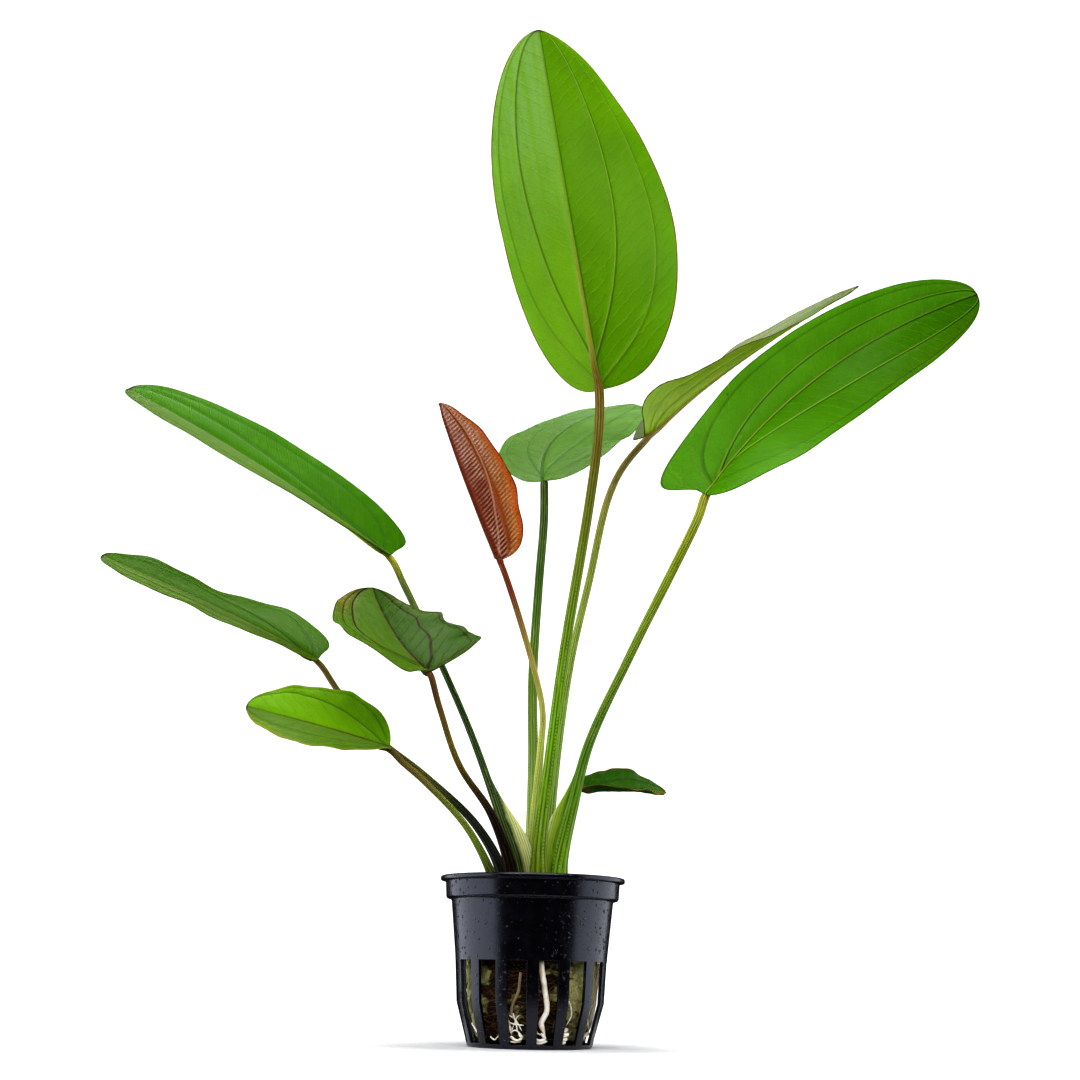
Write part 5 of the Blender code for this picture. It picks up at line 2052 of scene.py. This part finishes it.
        foot=(5.6, 5.2, 45.3), base=(15.2, 22.0, 78.4), tip=(43.3, 48.0, 80.5),
        via=((6.7, 7.2, 54.4), (8.0, 11.0, 62.2), (10.4, 17.0, 71.1)),
        fold=(24.3, 12.5), curl=0.07, bow=1.0, sweep=1.9, twist=-20.5, lobes=(0, 0.073), halves=(1.02, 1.0),
        fullness=(1.51, 1.32), peak=0.51,
        waves=(
            Wave(0.08, -1, 1.5), Wave(0.25, -1, -0.4), Wave(0.08, 1, -2.0), Wave(0.25, 1, -0.5),
            Wave(0.45, 1, -1.1),
        ),
        blade=BladeFinish(
            left=tint(58, 102, 6), right=tint(124, 126, 28), under_left=tint(60, 104, 36),
            midrib=tint(104, 132, 60), vein=tint(46, 84, 24), dark_tone_and_shade=tint(26, 66, 14),
            patch=tint(76, 116, 40),
            style=VeinStyle.FAINT,
        ),
        petiole=PetioleFinish(
            foot=tint(70, 96, 40), low=tint(58, 96, 32), high=tint(64, 110, 36), top=tint(84, 120, 46),
        ),
    ),
)

LIVING_ROOTS = (
    Root(((8.0, 24.2), (11.0, 17.8), (14.3, 12.0), (14.0, 10.2), (10.3, 7.4), (14.5, 3.8)), 1.6),
    Root(((-8.5, 21.0), (-10.0, 16.0), (-15.5, 11.5), (-17.5, 8.0)), 0.9, dim=True),
    Root(((26.0, 21.0), (25.5, 12.0), (30.0, 4.5)), 1.2),
    Root(((59.0, 24.0), (60.5, 15.0), (61.0, 7.0), (56.0, 3.8)), 1.2),
    Root(((-26.0, 18.0), (-22.5, 10.0), (-17.0, 4.0)), 1.1),
    Root(((-51.0, 24.0), (-52.5, 15.0), (-58.0, 5.0)), 1.1),
    Root(((96.0, 24.0), (103.0, 14.0), (98.0, 4.0)), 1.3),
    Root(((139.0, 24.0), (134.0, 13.0), (142.0, 4.5)), 1.2),
    Root(((-178.0, 24.0), (-172.0, 15.0), (-179.0, 5.0)), 1.3),
    Root(((-131.0, 23.0), (-127.0, 12.0), (-133.0, 4.0)), 1.2),
    Root(((-112.0, 24.0), (-115.0, 13.0), (-110.0, 4.0)), 1.2),
)

FINE_ROOTS = (
    Root(((-20.0, 7.4), (-13.0, 6.8), (-5.0, 6.6)), 0.40, 0.7),
    Root(((-14.5, 9.8), (-12.0, 7.0), (-11.0, 4.6)), 0.40, 0.6),
    Root(((-18.0, 9.2), (-13.0, 8.2), (-7.0, 5.0)), 0.35, 0.8),
    Root(((-16.5, 5.2), (-11.0, 8.8), (-8.5, 9.4)), 0.30, 0.9),
    Root(((-18.0, 4.4), (-13.0, 5.2), (-7.0, 3.8)), 0.40, 0.7),
    Root(((-18.0, 3.4), (-12.0, 2.4), (-7.5, 3.2), (-10.5, 4.4)), 0.85, 0.7),
    Root(((-19.0, 2.0), (-13.0, 1.9), (-8.0, 2.2)), 0.55, 0.7),
    Root(((3.0, 3.6), (8.5, 2.5), (14.0, 3.0), (10.0, 4.6)), 0.95, 0.65),
    Root(((4.0, 2.0), (10.0, 1.7), (17.0, 2.4)), 0.80, 0.6),
    Root(((5.5, 6.2), (7.0, 4.6), (12.0, 3.9)), 0.45, 0.9),
    Root(((25.0, 5.9), (31.0, 5.2), (37.0, 5.8)), 1.15, 0.75),
    Root(((24.5, 4.5), (31.0, 4.0), (39.0, 4.3)), 1.25, 0.7),
    Root(((25.0, 3.2), (32.0, 2.7), (38.0, 3.0)), 1.2, 0.7),
    Root(((25.0, 1.9), (31.0, 1.75), (37.0, 2.0)), 1.0, 0.7),
    Root(((30.0, 14.5), (34.0, 12.6), (37.5, 9.6), (34.0, 6.6)), 0.35, 0.6),
    Root(((50.0, 3.0), (60.0, 3.6), (74.0, 4.6)), 1.1, 0.7),
    Root(((52.0, 5.8), (58.0, 4.0), (66.0, 2.4)), 0.9, 0.8),
    Root(((58.0, 10.0), (66.0, 7.0), (74.0, 5.4)), 0.50, 0.9),
    Root(((-66.0, 6.6), (-61.0, 5.2), (-56.0, 3.4)), 0.50, 0.7),
    Root(((-40.0, 3.2), (-35.0, 2.4), (-30.0, 3.6)), 0.50, 0.7),
    Root(((110.0, 18.0), (118.0, 9.0), (126.0, 5.0)), 0.6, 0.8),
    Root(((-110.0, 16.0), (-118.0, 8.0), (-112.0, 3.4)), 0.6, 0.8),
    Root(((155.0, 20.0), (162.0, 12.0), (158.0, 4.0)), 0.5, 0.8),
    Root(((-155.0, 9.0), (-148.0, 5.0), (-140.0, 3.0)), 0.6, 0.8),
)


def main() -> None:
    """Set up the studio, then build the pot, its plug, the crown, the roots and the leaves."""
    logging.basicConfig(level=logging.INFO, format="%(name)s: %(message)s")
    record = frame["record"]
    LOG.info("%s in a frame of %d nodes", record.get("name", "plant"), len(frame["nodes"]))
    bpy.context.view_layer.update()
    Studio().build()
    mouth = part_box("net_pot")[1]
    pot = NetPot(height=mouth.z / MM, rim_radius=mouth.x / MM)
    pot.build()
    RockWool(pot, top=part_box("rock_wool")[1].z / MM).build()
    crown_low, crown_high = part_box("crown")
    centre = (round((crown_low.x + crown_high.x) / 2 / MM, 3), 0.0)
    Crown(centre, top=crown_high.z / MM).build()
    Roots(pot, LIVING_ROOTS, FINE_ROOTS).build()
    for leaf in LEAVES:
        Petiole(leaf, centre).build()
        Blade(leaf).build()


if __name__ == "__main__":
    main()
